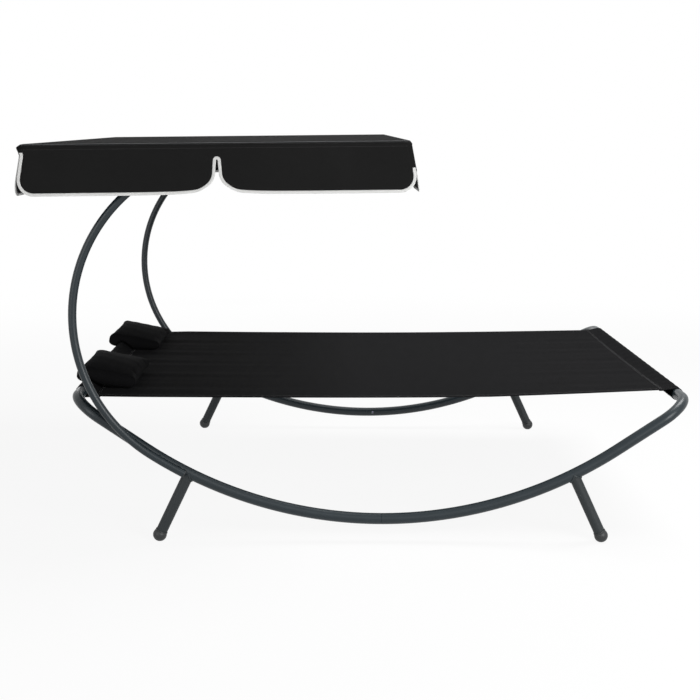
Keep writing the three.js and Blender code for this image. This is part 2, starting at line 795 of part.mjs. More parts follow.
function slitShape() {
  const half = slit.topWidth / 2;
  const reach = slit.bottomWidth / 2 + slit.corner;
  const roundTop = -valanceDepth + slit.corner;
  const shape = new THREE.Shape();
  shape.moveTo(reach, -valanceDepth - overrun);
  shape.lineTo(reach, -valanceDepth);
  shape.absarc(reach, roundTop, slit.corner, -PI / 2, -PI, true);
  shape.absarc(0, -slit.top - half, half, 0, PI);
  shape.absarc(-reach, roundTop, slit.corner, 0, -PI / 2, true);
  shape.lineTo(-reach, -valanceDepth - overrun);
  return shape;
}

// What is cut off a panel beside a slanted corner edge, with its lower corner rounded.
function cornerShape(flare) {
  const edge = (depth) => (flare * (depth - foldRadius)) / (valanceDepth - foldRadius) - cornerSlit.inset;
  const beyond = flare + overrun;
  const bottom = -valanceDepth - overrun;
  const shape = new THREE.Shape();
  shape.moveTo(beyond, -cornerSlit.top).lineTo(edge(cornerSlit.top), -cornerSlit.top);
  for (let i = 0; i <= slitSteps; i++) {
    const turn = (i / slitSteps) * (PI / 2);
    const depth = valanceDepth - cornerSlit.corner * (1 - sin(turn));
    shape.lineTo(edge(depth) - cornerSlit.corner * (1 - cos(turn)), -depth);
  }
  return shape.lineTo(edge(valanceDepth) - cornerSlit.corner, bottom).lineTo(beyond, bottom);
}

// A flat shape drawn in X and Z, as a cutting tool along Y.
function cutter(shape, length) {
  const settings = { depth: length, curveSegments: slitSteps, bevelEnabled: false };
  return new THREE.ExtrudeGeometry(shape, settings).translate(0, 0, -length / 2).rotateX(PI / 2);
}

// Both panels at a corner are cut back, each on its own side of the plane through the corner's edge.
function cornerSlits() {
  const at = new THREE.Vector3(coverHalfLength, coverHalfWidth, -foldRadius);
  const edge = new THREE.Vector3(endFlare, longSideFlare, foldRadius - valanceDepth);
  const normal = new THREE.Vector3(1, 1, 0).cross(edge);
  const reach = 2 * (endFlare + longSideFlare + canopyHemInset);
  const long = cutter(cornerShape(endFlare), reach);
  const end = cutter(cornerShape(longSideFlare), reach).rotateZ(PI / 2);
  const longSide = Math.sign(normal.y - normal.x);
  return [
    [long, longSide],
    [end, -longSide],
  ].map(([geometry, side]) => {
    const body = solid(geometry.translate(coverHalfLength, coverHalfWidth, 0));
    const facing = normal.clone().multiplyScalar(side);
    return body.trimByPlane(facing.toArray(), facing.dot(at) / facing.length());
  });
}

// Slits between the valance panels of the long sides and the ends, and at the corners.
function slits() {
  const reach = 2 * (coverHalfWidth + coverHalfLength);
  const tools = [];
  for (let i = 1; i < longSidePanels; i++) {
    const x = coverHalfLength * ((2 * i) / longSidePanels - 1);
    tools.push(solid(cutter(slitShape(), reach).translate(x, 0, 0)));
  }
  for (let i = 1; i < endPanels; i++) {
    const y = coverHalfWidth * ((2 * i) / endPanels - 1);
    tools.push(solid(cutter(slitShape(), reach).rotateZ(PI / 2).translate(0, y, 0)));
  }
  for (const tool of cornerSlits()) {
    const headTool = tool.mirror([1, 0, 0]);
    tools.push(tool, headTool, tool.mirror([0, 1, 0]), headTool.mirror([0, 1, 0]));
  }
  return tools;
}

function canopyCover() {
  const shell = cutBy(hood(0, valanceDepth), hood(clothThickness, valanceDepth + overrun));
  const openLength = 2 * (coverHalfLength - canopyHemInset);
  const openWidth = 2 * (coverHalfWidth - canopyHemInset);
  const opening = new THREE.BoxGeometry(openLength, openWidth, overrun);
  const cover = joined(cutBy(shell, solid(opening)), field());
  return geometryOf(cutBy(cover, ...slits()).translate([0, 0, coverTopZ]));
}

// Assembly
const lounger = new THREE.Group();
const canopy = new THREE.Group();
canopy.position.set(pivotX, 0, pivotZ);
canopy.rotation.y = -canopyTilt;

function add(name, geometry, material, parent = lounger, xSign = 1, ySign = 1) {
  const mesh = new THREE.Mesh(geometry, material);
  mesh.name = name;
  mesh.scale.set(xSign, ySign, 1);
  parent.add(mesh);
  return mesh;
}

const sides = { near: -1, far: 1 };
const ends = { head: -1, foot: 1 };
const rails = { head: headRail(), foot: footRail() };
const legTube = leg();
const foot = ballFoot();
const arm = canopyArm();
const sideRail = canopySideRail();
const pillowBlock = pillow();
const rest = pillowPlace();

for (const [end, endSign] of Object.entries(ends)) {
  add(`${end}_cross_tube`, crossTube().translate(endSign * crossX, 0, crossZ), paint);
}
add("sling", sling(), bedCloth);

for (const [side, sign] of Object.entries(sides)) {
  for (const [end, endSign] of Object.entries(ends)) {
    add(`${end}_rail_${side}`, rails[end], paint, lounger, endSign, sign);
    add(`${end}_leg_${side}`, legTube, darkPaint, lounger, endSign, sign);
    add(`${end}_ball_foot_${side}`, foot, plastic, lounger, endSign, sign);
    add(`canopy_rail_plug_${end}_${side}`, sideRailPlug(endSign), plastic, canopy, 1, sign);
  }
  add(`rail_joint_bolt_${side}`, frameBoltPiece(), steel, lounger, 1, sign);
  add(`canopy_arm_${side}`, arm, paint, lounger, 1, sign);
  add(`arm_foot_plug_${side}`, armPlug(0), plastic, lounger, 1, sign);
  add(`arm_top_plug_${side}`, armPlug(1), plastic, lounger, 1, sign);
  armBoltAngles.forEach((angle, i) => {
    const where = i ? "upper" : "lower";
    add(`arm_spacer_${where}_${side}`, armSpacer(angle), plastic, lounger, 1, sign);
    add(`arm_bolt_${where}_${side}`, armBoltPiece(angle), steel, lounger, 1, sign);
  });
  add(`pivot_spacer_${side}`, pivotSpacer(), plastic, lounger, 1, sign);
  add(`knob_washer_${side}`, knobWasher(), steel, lounger, 1, sign);
  add(`canopy_side_rail_${side}`, sideRail, paint, canopy, 1, sign);
  add(`pivot_bolt_${side}`, pivotBolt(), steel, canopy, 1, sign);
  add(`tilt_knob_${side}`, knob(), plastic, canopy, 1, sign);
  for (const [where, x] of Object.entries(crossRailXs)) {
    add(`canopy_screw_${where}_${side}`, canopyScrewPiece(x), steel, canopy, 1, sign);
  }
  const piece = add(`pillow_${side}`, pillowBlock, pillowCloth);
  piece.rotation.y = rest.lean;
  const middleX = rest.x - (pillowWidth / 2) * cos(rest.lean);
  const middleZ = rest.z + (pillowWidth / 2) * sin(rest.lean);
  piece.position.set(middleX, (sign * pillowSpacing) / 2, middleZ);
}
for (const [where, x] of Object.entries(crossRailXs)) {
  add(`canopy_cross_rail_${where}`, crossRail(x), paint, canopy);
}
add("canopy_cover", canopyCover(), canopyCloth, canopy);
lounger.add(canopy);

// The origin is on the floor under the middle of the whole object.
const extent = new THREE.Box3().setFromObject(lounger, true);
lounger.position.x = -(extent.min.x + extent.max.x) / 2;

export default lounger;
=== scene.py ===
from functools import partialmethod
from math import acos, asin, atan2, cos, hypot, pi, radians, sin, sqrt, tan

import bmesh
import bpy
import numpy as np
from mathutils import Matrix, Vector


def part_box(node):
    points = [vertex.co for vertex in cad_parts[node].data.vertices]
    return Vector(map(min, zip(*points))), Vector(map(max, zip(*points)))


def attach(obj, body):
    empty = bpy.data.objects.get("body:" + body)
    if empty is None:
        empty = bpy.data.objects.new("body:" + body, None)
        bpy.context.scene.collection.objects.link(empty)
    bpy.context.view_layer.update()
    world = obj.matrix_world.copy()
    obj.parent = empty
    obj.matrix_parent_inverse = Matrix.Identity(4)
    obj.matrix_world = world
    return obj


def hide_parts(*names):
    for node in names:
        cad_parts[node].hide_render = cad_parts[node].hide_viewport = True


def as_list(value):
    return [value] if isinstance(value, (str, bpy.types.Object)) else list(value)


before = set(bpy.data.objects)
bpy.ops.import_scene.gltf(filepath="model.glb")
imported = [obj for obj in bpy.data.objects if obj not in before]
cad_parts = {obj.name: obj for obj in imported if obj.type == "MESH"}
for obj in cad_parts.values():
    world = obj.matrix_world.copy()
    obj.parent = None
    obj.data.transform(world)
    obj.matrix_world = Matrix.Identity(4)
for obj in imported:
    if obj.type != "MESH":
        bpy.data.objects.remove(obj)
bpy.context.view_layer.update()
print("frame loaded:", len(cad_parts), "nodes")

sides = {"near": -1, "far": 1}
ends = {"head": -1, "foot": 1}
up = np.array([0.0, 0.0, 1.0])
across = np.array([0.0, 1.0, 0.0])


def shown(name, data):
    made = bpy.data.objects.new(name, data)
    bpy.context.scene.collection.objects.link(made)
    return made


# Camera, where the photograph was taken from
view = {
    "place": (-0.1176, -5.2476, 1.3332),
    "yaw": 0.0175,
    "pitch": 0.1602,
    "roll": 0.0078,
    "lens": 72.81,
    "sensor": 36,
}


def makeCamera():
    yaw, pitch, roll = view["yaw"], view["pitch"], view["roll"]
    ahead = Vector((sin(yaw) * cos(pitch), cos(yaw) * cos(pitch), -sin(pitch)))
    level = Vector((cos(yaw), -sin(yaw), 0))
    right = level * cos(roll) + level.cross(ahead) * sin(roll)
    data = bpy.data.cameras.new("camera")
    data.lens, data.sensor_width = view["lens"], view["sensor"]
    data.clip_start, data.clip_end = 0.05, 200
    camera = shown("camera", data)
    camera.matrix_world = Matrix((right, right.cross(ahead), -ahead)).transposed().to_4x4()
    camera.location = view["place"]
    bpy.context.scene.camera = camera


makeCamera()
bpy.context.scene.view_settings.view_transform = "Standard"


# Shaders
class Wire:
    # A shader socket: sums, products and powers with numbers and other sockets add Math nodes
    def __init__(self, shader, socket):
        self.shader, self.socket = shader, socket

    def maths(self, operation, *others):
        values = dict(enumerate((self,) + others))
        return self.shader.node("Math", {"operation": operation}, values)["Value"]

    __add__ = __radd__ = partialmethod(maths, "ADD")
    __mul__ = __rmul__ = partialmethod(maths, "MULTIPLY")
    __sub__ = partialmethod(maths, "SUBTRACT")
    __rsub__ = partialmethod(maths, "MULTIPLY_ADD", -1)
    __pow__ = partialmethod(maths, "POWER")


class Made:
    # A node whose outputs are read by name or number
    def __init__(self, shader, node):
        self.shader, self.made = shader, node

    def __getitem__(self, name):
        return Wire(self.shader, self.made.outputs[name])


class Shader:
    # The node tree of a new material, or of the block handed in
    def __init__(self, name, block=None):
        self.block = block or bpy.data.materials.new(name)
        self.block.use_nodes = True
        self.tree = self.block.node_tree
        self.tree.nodes.clear()

    def node(self, kind, settings=None, values=None):
        made = self.tree.nodes.new("ShaderNode" + kind)
        for key, value in (settings or {}).items():
            setattr(made, key, value)
        for key, value in (values or {}).items():
            if isinstance(value, Wire):
                self.tree.links.new(value.socket, made.inputs[key])
            else:
                made.inputs[key].default_value = value
        return Made(self, made)

    def place(self):
        return self.node("TexCoord")["Object"]

    def noise(self, where, scale, detail=2, roughness=0.5):
        values = {"Vector": where, "Scale": scale, "Detail": detail, "Roughness": roughness}
        return self.node("TexNoise", None, values)["Fac"]

    def mix(self, factor, first, second):
        return self.node("Mix", {"data_type": "RGBA"}, {0: factor, 6: first, 7: second})[2]

    def tones(self, factor, colour, low, high):
        # Between two shades of one colour
        return self.mix(factor, shade(colour, low), shade(colour, high))

    def bump(self, height, distance, strength, **under):
        values = {"Height": height, "Distance": distance, "Strength": strength, **under}
        return self.node("Bump", None, values)["Normal"]

    def finish(self, **values):
        # baseColor is the socket Base Color, and so on
        sockets = {}
        for key, value in values.items():
            spaced = "".join(" " + c if c.isupper() else c for c in key)
            sockets[(spaced[0].upper() + spaced[1:]).replace("Ior", "IOR")] = value
        shading = self.node("BsdfPrincipled", None, sockets)
        self.node("OutputMaterial", None, {"Surface": shading["BSDF"]})
        return self.block


def linear(code):
    # A colour written as rrggbb, in linear light
    tones = np.array([int(code[i : i + 2], 16) / 255 for i in (0, 2, 4)])
    tones = np.where(tones <= 0.04045, tones / 12.92, ((tones + 0.055) / 1.055) ** 2.4)
    return tuple(tones) + (1.0,)


def shade(colour, gain):
    return tuple(min(1.0, c * gain) for c in colour[:3]) + (1.0,)


# Powder coat: a fine orange peel, a faint mottle, and sparse bright specks where the coat is worn
coat = {"peel": 900, "peelDepth": 0.00004, "mottle": 14, "speck": 2600, "wear": 2.2}


def powderCoat(name, code, roughness):
    s = Shader(name)
    where = s.place()
    colour = linear(code)
    mottle = s.noise(where, coat["mottle"], 4)
    speck = s.noise(where, coat["speck"], 1)
    base = s.tones(mottle, colour, 0.82, 1.18)
    base = s.mix(speck ** 8 * 0.6, base, shade(colour, coat["wear"]))
    peel = s.noise(where, coat["peel"], 2, 0.6)
    return s.finish(
        baseColor=base,
        roughness=mottle * 0.12 + (roughness - 0.06),
        metallic=0.0,
        normal=s.bump(peel, coat["peelDepth"], 0.6),
        specularIorLevel=0.35,
        coatWeight=0.06,
        coatRoughness=0.25,
    )


def mouldedPlastic(name, code, roughness, grainScale=1800, cloudScale=40):
    s = Shader(name)
    where = s.place()
    grain = s.noise(where, grainScale, 3, 0.7)
    cloud = s.noise(where, cloudScale, 2)
    return s.finish(
        baseColor=s.tones(cloud, linear(code), 0.85, 1.2),
        roughness=grain * 0.2 + (roughness - 0.1),
        normal=s.bump(grain, 0.00006, 0.5),
    )


def blackSteel(name, spangleScale=700, cloudScale=300):
    s = Shader(name)
    where = s.place()
    spangle = s.node("TexVoronoi", None, {"Vector": where, "Scale": spangleScale})["Color"]
    cloud = s.noise(where, cloudScale, 3)
    grey = s.mix(0.12, s.mix(cloud, linear("34373a"), linear("4a4d50")), spangle)
    return s.finish(baseColor=grey, metallic=1.0, roughness=cloud * 0.2 + 0.25, normal=s.bump(cloud, 0.00003, 0.5))


# Woven cloth on its own map, in metres: slubs along the threads, slow clouds of tone and soft crumples
woven = {"slub": (6, 240, 1), "cloud": 3.2, "crumple": 16, "threadDepth": 0.25, "tint": (0.96, 0.98, 1.0, 1.0)}


def weave(s, where, pitch):
    # Threads cross over and under in turn, as a checkerboard of rounded ridges. The height is |sin|
    # across the thread that lies on top
    parts = s.node("SeparateXYZ", None, {"Vector": where})
    warp = (parts["X"] * (pi / pitch)).maths("SINE")
    weft = (parts["Y"] * (pi / pitch)).maths("SINE")
    onTop = (warp * weft).maths("GREATER_THAN", 0.0)
    warpRidge, weftRidge = warp.maths("ABSOLUTE"), weft.maths("ABSOLUTE")
    return warpRidge * onTop + weftRidge * (1 - onTop), onTop


def wovenCloth(name, code, pitch, roughness, sheen, tone=0.25, crease=0.0012):
    s = Shader(name)
    where = s.node("UVMap", {"uv_map": "cloth"})["UV"]
    height, onTop = weave(s, where, pitch)
    place = s.place()
    slub = s.noise(s.node("Mapping", None, {"Vector": where, "Scale": woven["slub"]})["Vector"], 4, 2)
    cloud = s.noise(place, woven["cloud"], 4, 0.6)
    crumple = s.noise(place, woven["crumple"], 3, 0.55)
    colour = linear(code)
    base = s.tones(onTop, colour, 1 - tone, 1 + tone)
    base = s.mix(slub ** 2 * 0.7, base, shade(colour, 0.7))
    base = s.mix(cloud ** 3, base, shade(colour, 1.5))
    folds = s.bump(crumple, crease, 0.35)
    return s.finish(
        baseColor=base,
        roughness=cloud * 0.1 + (roughness - 0.05),
        normal=s.bump(height, pitch * woven["threadDepth"], 0.5, Normal=folds),
        sheenWeight=sheen,
        sheenRoughness=0.45,
        sheenTint=woven["tint"],
        ior=1.2,
        specularIorLevel=0.05,
    )


def spunThread(name, code, twistScale=2400):
    s = Shader(name)
    twist = s.noise(s.place(), twistScale, 2)
    return s.finish(baseColor=s.tones(twist, linear(code), 0.7, 1.2), roughness=0.6, sheenWeight=0.3)


finishes = {  # each with the name of the record's slot for it
    "frame": (powderCoat("anthracite powder coat", "1b252a", 0.38), "frame_paint"),
    "leg": (powderCoat("matt grey powder coat", "212628", 0.6), "leg_paint"),
    "weld": (powderCoat("coated weld bead", "232a2d", 0.5), "leg_paint"),
    "foot": (mouldedPlastic("black foot plastic", "202324", 0.5), "foot_plastic"),
    "plug": (mouldedPlastic("black plug plastic", "1c1e20", 0.55), "foot_plastic"),
    "spacer": (mouldedPlastic("spacer plastic", "17181a", 0.55), "spacer_plastic"),
    "knob": (mouldedPlastic("knob plastic", "151618", 0.45), "knob_plastic"),
    "steel": (blackSteel("black zinc plated steel"), "fastener_steel"),
    "bed": (wovenCloth("bed cloth", "19191a", 0.0012, 0.9, 0.01), "bed_cloth"),
    "canopy": (wovenCloth("canopy cloth", "202020", 0.0007, 0.85, 0.01, 0.15), "canopy_cloth"),
    "pillow": (wovenCloth("pillow cloth", "171718", 0.0008, 0.85, 0.01, 0.2), "pillow_cloth"),
    "tape": (wovenCloth("white edge tape", "dededc", 0.0006, 0.8, 0.05, 0.04, 0.0003), "canopy_cloth"),
    # a piped cord along the fold, coloured lighter than the canopy cloth to paint the fold's highlight
    "piping": (spunThread("fold piping painted highlight", "3c3d3f"), "canopy_cloth"),
    "thread": (spunThread("black thread", "1d1d1f"), "canopy_cloth"),
    "whiteThread": (spunThread("white thread", "cbcbc8"), "canopy_cloth"),
}
print("materials made:", len(finishes))


# Arrays
def unit(vectors):
    # Each vector along the last axis at length one
    return vectors / np.linalg.norm(vectors, axis=-1, keepdims=True)


def together(*parts):
    # Coordinates side by side along a new last axis
    return np.stack(np.broadcast_arrays(*parts), -1)


def fullTurn(count):
    return np.linspace(0, 2 * pi, count, endpoint=False)


def runAlong(line):
    # How far along a line each of its points lies
    return np.concatenate([[0], np.cumsum(np.linalg.norm(np.diff(line, axis=0), axis=1))])


def waves(*terms):
    # A sum of sines, from pairs of height and phase
    return sum(height * np.sin(phase) for height, phase in terms)


# Meshes
def cells(rows, columns, wrapRows, wrapColumns):
    # One quad between each four neighbours on a grid of points
    i = np.arange(rows if wrapRows else rows - 1)[:, None]
    j = np.arange(columns if wrapColumns else columns - 1)[None, :]
    nextRow, nextColumn = (i + 1) % rows, (j + 1) % columns
    corners = (i * columns + j, i * columns + nextColumn, nextRow * columns + nextColumn, nextRow * columns + j)
    return together(*corners).reshape(-1, 4)


def grid(points, shape="tube", cloth=None):
    # A grid of points (rows, columns, 3): a tube with two lids, a ring closed both ways or an open sheet
    rows, columns = points.shape[:2]
    quads = cells(rows, columns, shape == "ring", shape != "sheet")
    last = (rows - 1) * columns
    lids = [list(range(columns))[::-1], list(range(last, last + columns))] if shape == "tube" else []
    flat = points.reshape(-1, 3)
    if shape != "sheet":
        # turned so that its faces look outwards: the volume they enclose is positive
        a, b, c, d = (flat[quads[:, k]] - flat.mean(0) for k in range(4))
        volume = (a * (np.cross(b, c) + np.cross(c, d))).sum()
        if volume < 0:
            quads = quads[:, ::-1]
            lids = [lid[::-1] for lid in lids]
    return {"points": flat, "quads": quads, "lids": lids, "cloth": None if cloth is None else cloth.reshape(-1, 2)}


def piece(name, grids, finish, body, stands="", sharp=40, merge=None, thickness=None, slot=None):
    # Grids joined into one mesh object that rides on a body and may stand for a solid; merged ones face up
    grids = grids if isinstance(grids, list) else [grids]
    starts = np.cumsum([0] + [len(g["points"]) for g in grids])
    faces = []
    for g, start in zip(grids, starts):
        faces += (g["quads"] + start).tolist() + [[k + int(start) for k in lid] for lid in g["lids"]]
    mesh = bpy.data.meshes.new(name)
    mesh.from_pydata(np.concatenate([g["points"] for g in grids]).tolist(), [], faces)
    if all(g["cloth"] is not None for g in grids):
        places = np.concatenate([g["cloth"] for g in grids])
        corners = np.zeros(len(mesh.loops), np.int64)
        mesh.loops.foreach_get("vertex_index", corners)
        mesh.uv_layers.new(name="cloth").data.foreach_set("uv", places[corners].ravel())
    if merge:
        work = bmesh.new()
        work.from_mesh(mesh)
        bmesh.ops.remove_doubles(work, verts=work.verts, dist=merge)
        bmesh.ops.recalc_face_normals(work, faces=work.faces)
        if sum((f.normal * f.calc_area() for f in work.faces), Vector()).z < 0:
            bmesh.ops.reverse_faces(work, faces=work.faces)
        work.to_mesh(mesh)
        work.free()
    mesh.polygons.foreach_set("use_smooth", np.ones(len(mesh.polygons), bool))
    mesh.set_sharp_from_angle(angle=radians(sharp))
    material, ownSlot = finishes[finish]
    mesh.materials.append(material)
    made = shown(name, mesh)
    if thickness:
        wall = made.modifiers.new("cloth thickness", "SOLIDIFY")
        wall.thickness, wall.offset, wall.use_quality_normals = thickness, 0, True
    if stands:
        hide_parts(stands)
    slot or ownSlot
    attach(made, body)
    return made


def carried(path, normals, radii, count=32):
    # A ring carried along a path: centre + radius * (cos(a) * normal + sin(a) * side), side = along x normal
    side = unit(np.cross(unit(np.gradient(path, axis=0)), normals))
    a = fullTurn(count)[None, :, None]
    ring = np.cos(a) * normals[:, None] + np.sin(a) * side[:, None]
    return path[:, None] + np.broadcast_to(radii, len(path))[:, None, None] * ring


def turned(origin, axis, profile, count=48, hexRows=()):
    # A profile of (radius, height) pairs turned about an axis; the rows in hexRows are six-sided
    axis = unit(np.asarray(axis, float))
    first = unit(np.cross(axis, across if abs(axis[1]) < 0.9 else up))
    second = np.cross(axis, first)
    a = fullTurn(count)
    profile = np.asarray(profile, float)
    radius = np.repeat(profile[:, :1], count, axis=1)
    radius[list(hexRows)] *= cos(pi / 6) / np.cos((a % (pi / 3)) - pi / 6)
    flat = np.cos(a)[None, :, None] * first + np.sin(a)[None, :, None] * second
    return np.asarray(origin, float) + radius[..., None] * flat + profile[:, 1:, None] * axis


def arc(centreR, centreH, radius, start, end, count=7):
    # Pairs of radius and height round a corner of a profile
    a = np.linspace(start, end, count)
    return together(centreR + radius * np.cos(a), centreH + radius * np.sin(a)).tolist()


def corners():
    # The bed's four corners: end, side, and the signs that turn the far foot corner into each
    for end, endSign in ends.items():
        for side, sign in sides.items():
            yield end, side, np.array([endSign, sign, 1.0])


# Bed frame
bed = {
    "length": 1.99,
    "width": 1.73,
    "tube": 0.018,  # radius of the rails
    "bow": 1.349,
    "clearance": 0.056,
    "slope": radians(34),
    "bend": 0.100,
    "tail": 0.120,
    "lip": 0.0005,  # round edge of a cut tube
    "joint": 0.00015,  # half of the line between the rail halves
}
crossX = bed["length"] / 2 - bed["tube"]
railY = bed["width"] / 2 - bed["tube"]
low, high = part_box("foot_cross_tube")
shiftX = (low.x + high.x) / 2 - crossX  # from the middle of the bed to the middle of the whole object
bowZ = bed["clearance"] + bed["tube"] + bed["bow"]
bowEndX = bed["bow"] * sin(bed["slope"])
crossZ = bowZ - bed["bow"] * cos(bed["slope"]) + (crossX - bowEndX) * tan(bed["slope"])


def bowOut(angle):
    # Outward directions on the bow, by angles from its lowest point
    return together(np.sin(angle), 0.0, -np.cos(angle))


def bowPoint(angle, y):
    return np.array([shiftX, y, bowZ]) + bed["bow"] * bowOut(angle)


def railLine():
    # Down the middle of a foot-end rail: the bow, a straight, the bend in and a straight tail
    lip, start = bed["lip"] / bed["bow"], bed["joint"] / bed["bow"]
    angles = np.concatenate([[start, start + lip], np.linspace(start + 2 * lip, bed["slope"], 70)])
    bow = bowPoint(angles, railY)
    along = np.array([cos(bed["slope"]), 0, sin(bed["slope"])])
    run = (crossX - bowEndX) / cos(bed["slope"]) - bed["bend"]
    straight = bow[-1] + along * np.linspace(0.2, 1, 5)[:, None] * run
    a = np.linspace(0, pi / 2, 26)[1:, None]
    bend = straight[-1] - across * bed["bend"] + bed["bend"] * (np.cos(a) * across + np.sin(a) * along)
    tail = bend[-1] - across * bed["tail"] * np.array([0.5, 0.98, 1])[:, None]
    path = np.concatenate([bow, straight, bend, tail])
    outs = bowOut(np.concatenate([angles, np.full(len(path) - len(angles), bed["slope"])]))
    radii = np.full(len(path), bed["tube"])
    radii[[0, -1]] -= bed["lip"]
    return path, outs, radii


def makeRails():
    path, outs, radii = railLine()
    for end, side, flip in corners():
        ring = carried((path - [shiftX, 0, 0]) * flip + [shiftX, 0, 0], outs * flip, radii, 40)
        piece(f"rail_{end}_{side}", grid(ring), "frame", "frame", f"{end}_rail_{side}")
    for end in ends:
        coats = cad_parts[f"{end}_cross_tube"].data.materials
        coats.clear()
        coats.append(finishes["frame"][0])


makeRails()
print("rails made")

# Legs and feet
legs = {
    "tube": 0.018,
    "tilt": radians(25.3),
    "footX": 0.710,
    "start": 0.012,  # of the tube, up from the ball's middle
    "sunk": 0.002,  # into the rail
    "ball": 0.022,
    "ballZ": 0.020,
    "bead": 0.0034,
    "beadSunk": 0.0008,
    "ripples": 34,
    "ripple": 0.14,
    "collar": 0.0022,
}
legUp = np.array([-sin(legs["tilt"]), 0, cos(legs["tilt"])])
legSide = np.cross(across, legUp)


def legTop(reach, outX, outY):
    # How far up the leg's line a point beside it meets the rail: the leg's line against a circle about
    # the bow's centre, whose radius is the bow's plus what the rail's round side stands out there
    start = [legs["footX"], 0, legs["ballZ"] - bowZ] + outX[:, None] * legSide
    limit = bed["bow"] + np.sqrt(np.maximum(reach**2 - outY**2, 0))
    along = start @ legUp
    return -along - np.sqrt(along**2 - (start**2).sum(-1) + limit**2)


def makeLegs():
    # The leg's skin runs from inside the ball up to where each point of its wall meets the rail
    a = fullTurn(56)
    outX, outY = legs["tube"] * np.cos(a), legs["tube"] * np.sin(a)
    ball = np.array([legs["footX"], railY, legs["ballZ"]])
    foot = ball + outX[:, None] * legSide + outY[:, None] * across
    outs = (foot - ball) / legs["tube"]
    top = legTop(bed["tube"] - legs["sunk"], outX, outY)
    rise = np.array([0.0, 0.15, 0.5, 0.85, 1.0])[:, None]
    skin = foot + (legs["start"] * (1 - rise) + top * rise)[..., None] * legUp

    # The weld bead is a rippled ring carried along the line where the leg meets the rail
    seam = foot + (legTop(bed["tube"], outX, outY) - legs["beadSunk"])[:, None] * legUp
    bind = np.cross(unit(np.roll(seam, -1, 0) - np.roll(seam, 1, 0)), outs)
    size = legs["bead"] * (1 + legs["ripple"] * np.sin(legs["ripples"] * a))[:, None, None]
    b = fullTurn(10)[None, :, None]
    bead = seam[:, None] + size * (np.cos(b) * outs[:, None] + np.sin(b) * bind[:, None])

    # The ball is turned upright and cut flat where it stands; a collar lies round the leg above it
    sweep = np.linspace(-asin(legs["ballZ"] / legs["ball"]), pi / 2 - 0.03, 26)
    profile = legs["ball"] * together(np.cos(sweep), np.sin(sweep))
    profile[12:14] *= 1.012
    profile = [[profile[0][0] - 0.001, profile[0][1]]] + profile.tolist()
    collarAt = sqrt(legs["ball"] ** 2 - legs["tube"] ** 2) + 0.001
    c = fullTurn(12)
    ring = together(legs["tube"] + legs["collar"] * (0.3 + 0.7 * np.cos(c)), collarAt + legs["collar"] * np.sin(c))
    shell, collar = turned(ball, up, profile, 56), turned(ball, legUp, ring, 56)
    for end, side, flip in corners():
        put = lambda points, shape="tube": grid(points * flip + [shiftX, 0, 0], shape)
        piece(f"leg_{end}_{side}", put(skin), "leg", "frame", f"{end}_leg_{side}")
        piece(f"leg_weld_{end}_{side}", put(bead, "ring"), "weld", "frame")
        piece(f"ball_{end}_{side}", [put(shell), put(collar, "ring")], "foot", "frame", f"{end}_ball_foot_{side}")


makeLegs()
print("legs and feet made")

# Canopy arms
arms = {
    "tube": 0.013,
    "bow": 0.515,
    "leave": radians(32.9),
    "foot": radians(27.7),
    "bolts": {"lower": radians(28.7), "upper": radians(31.7)},
    "margin": 0.015,
    "spacing": 0.004,
    "pivot": 0.5125,
    "spacer": 0.012,
    "plate": 0.005,
    "washer": 0.002,
    "bore": 0.0043,  # radius of washers and spacers inside
    "seat": 0.0003,  # gap between pieces that lie against each other
}
armY = railY + bed["tube"] + arms["spacing"] + arms["tube"]
armX = -(bed["bow"] - arms["bow"]) * sin(arms["leave"])
armZ = bowZ - (bed["bow"] - arms["bow"]) * cos(arms["leave"])
pivotAngle = asin((armX + arms["pivot"]) / arms["bow"])
pivot = np.array([shiftX - arms["pivot"], 0, armZ + arms["bow"] * cos(pivotAngle)])
boltSizes = {  # radii of shank and head, height of head, radius and depth of socket
    "arm": (0.004, 0.0075, 0.0045, 0.0028, 0.0025),
    "rail": (0.003, 0.006, 0.0035, 0.0022, 0.002),
    "canopy": (0.0025, 0.0048, 0.0028, 0.0017, 0.0016),
}


def armLine():
    # Up along the outside of the head rail, round over the bed and straight past the pivot
    foot = -np.linspace(arms["foot"], arms["leave"], 14)
    turns = -np.linspace(arms["leave"], pi - pivotAngle, 74)[1:]
    onArm = np.array([shiftX + armX, armY, armZ]) + arms["bow"] * bowOut(turns)
    ahead = np.array([cos(pivotAngle), 0, sin(pivotAngle)])
    past = onArm[-1] + ahead * arms["margin"] * np.array([0.5, 1.0])[:, None]
    path = np.concatenate([bowPoint(foot, armY), onArm, past])
    return path, bowOut(np.concatenate([foot, turns, turns[[-1, -1]]]))


def domedPlug(origin, axis, radius, height=0.0027, edge=0.0015):
    # A flange with a round edge and a low dome
    profile = [[radius - 0.0004, 0], [radius + 0.0002, 0.0002]]
    profile += arc(radius - edge, height - edge, edge, 0, pi / 2)
    profile += [[radius * 0.5, height + 0.0003], [radius * 0.1, height + 0.0005]]
    return grid(turned(origin, axis, profile, 40))


def buttonBolt(origin, axis, kind, length, edge=0.0003):
    # Shank, round head and a six-sided socket, in one profile from the tip to the socket's floor
    shank, head, height, socket, depth = boltSizes[kind]
    dome = np.linspace(0, acos(socket * 1.15 / head), 8)
    profile = [[shank * 0.7, -length], [shank, -length + shank * 0.3], [shank, 0], [head - edge, 0]]
    profile += together(head * np.cos(dome), edge + (height - edge) * np.sin(dome) / sin(dome[-1])).tolist()
    profile += [[socket, height - 0.0002], [socket * 0.97, height - depth], [socket * 0.3, height - depth - edge]]
    return grid(turned(origin, axis, profile, 48, range(len(profile) - 3, len(profile))))


def washer(origin, axis, inner, outer, thickness, edge=0.0003):
    profile = [[inner, 0], [outer - edge, 0], [outer, edge], [outer, thickness - edge], [outer - edge, thickness]]
    return grid(turned(origin, axis, profile + [[inner, thickness]], 48), "ring")


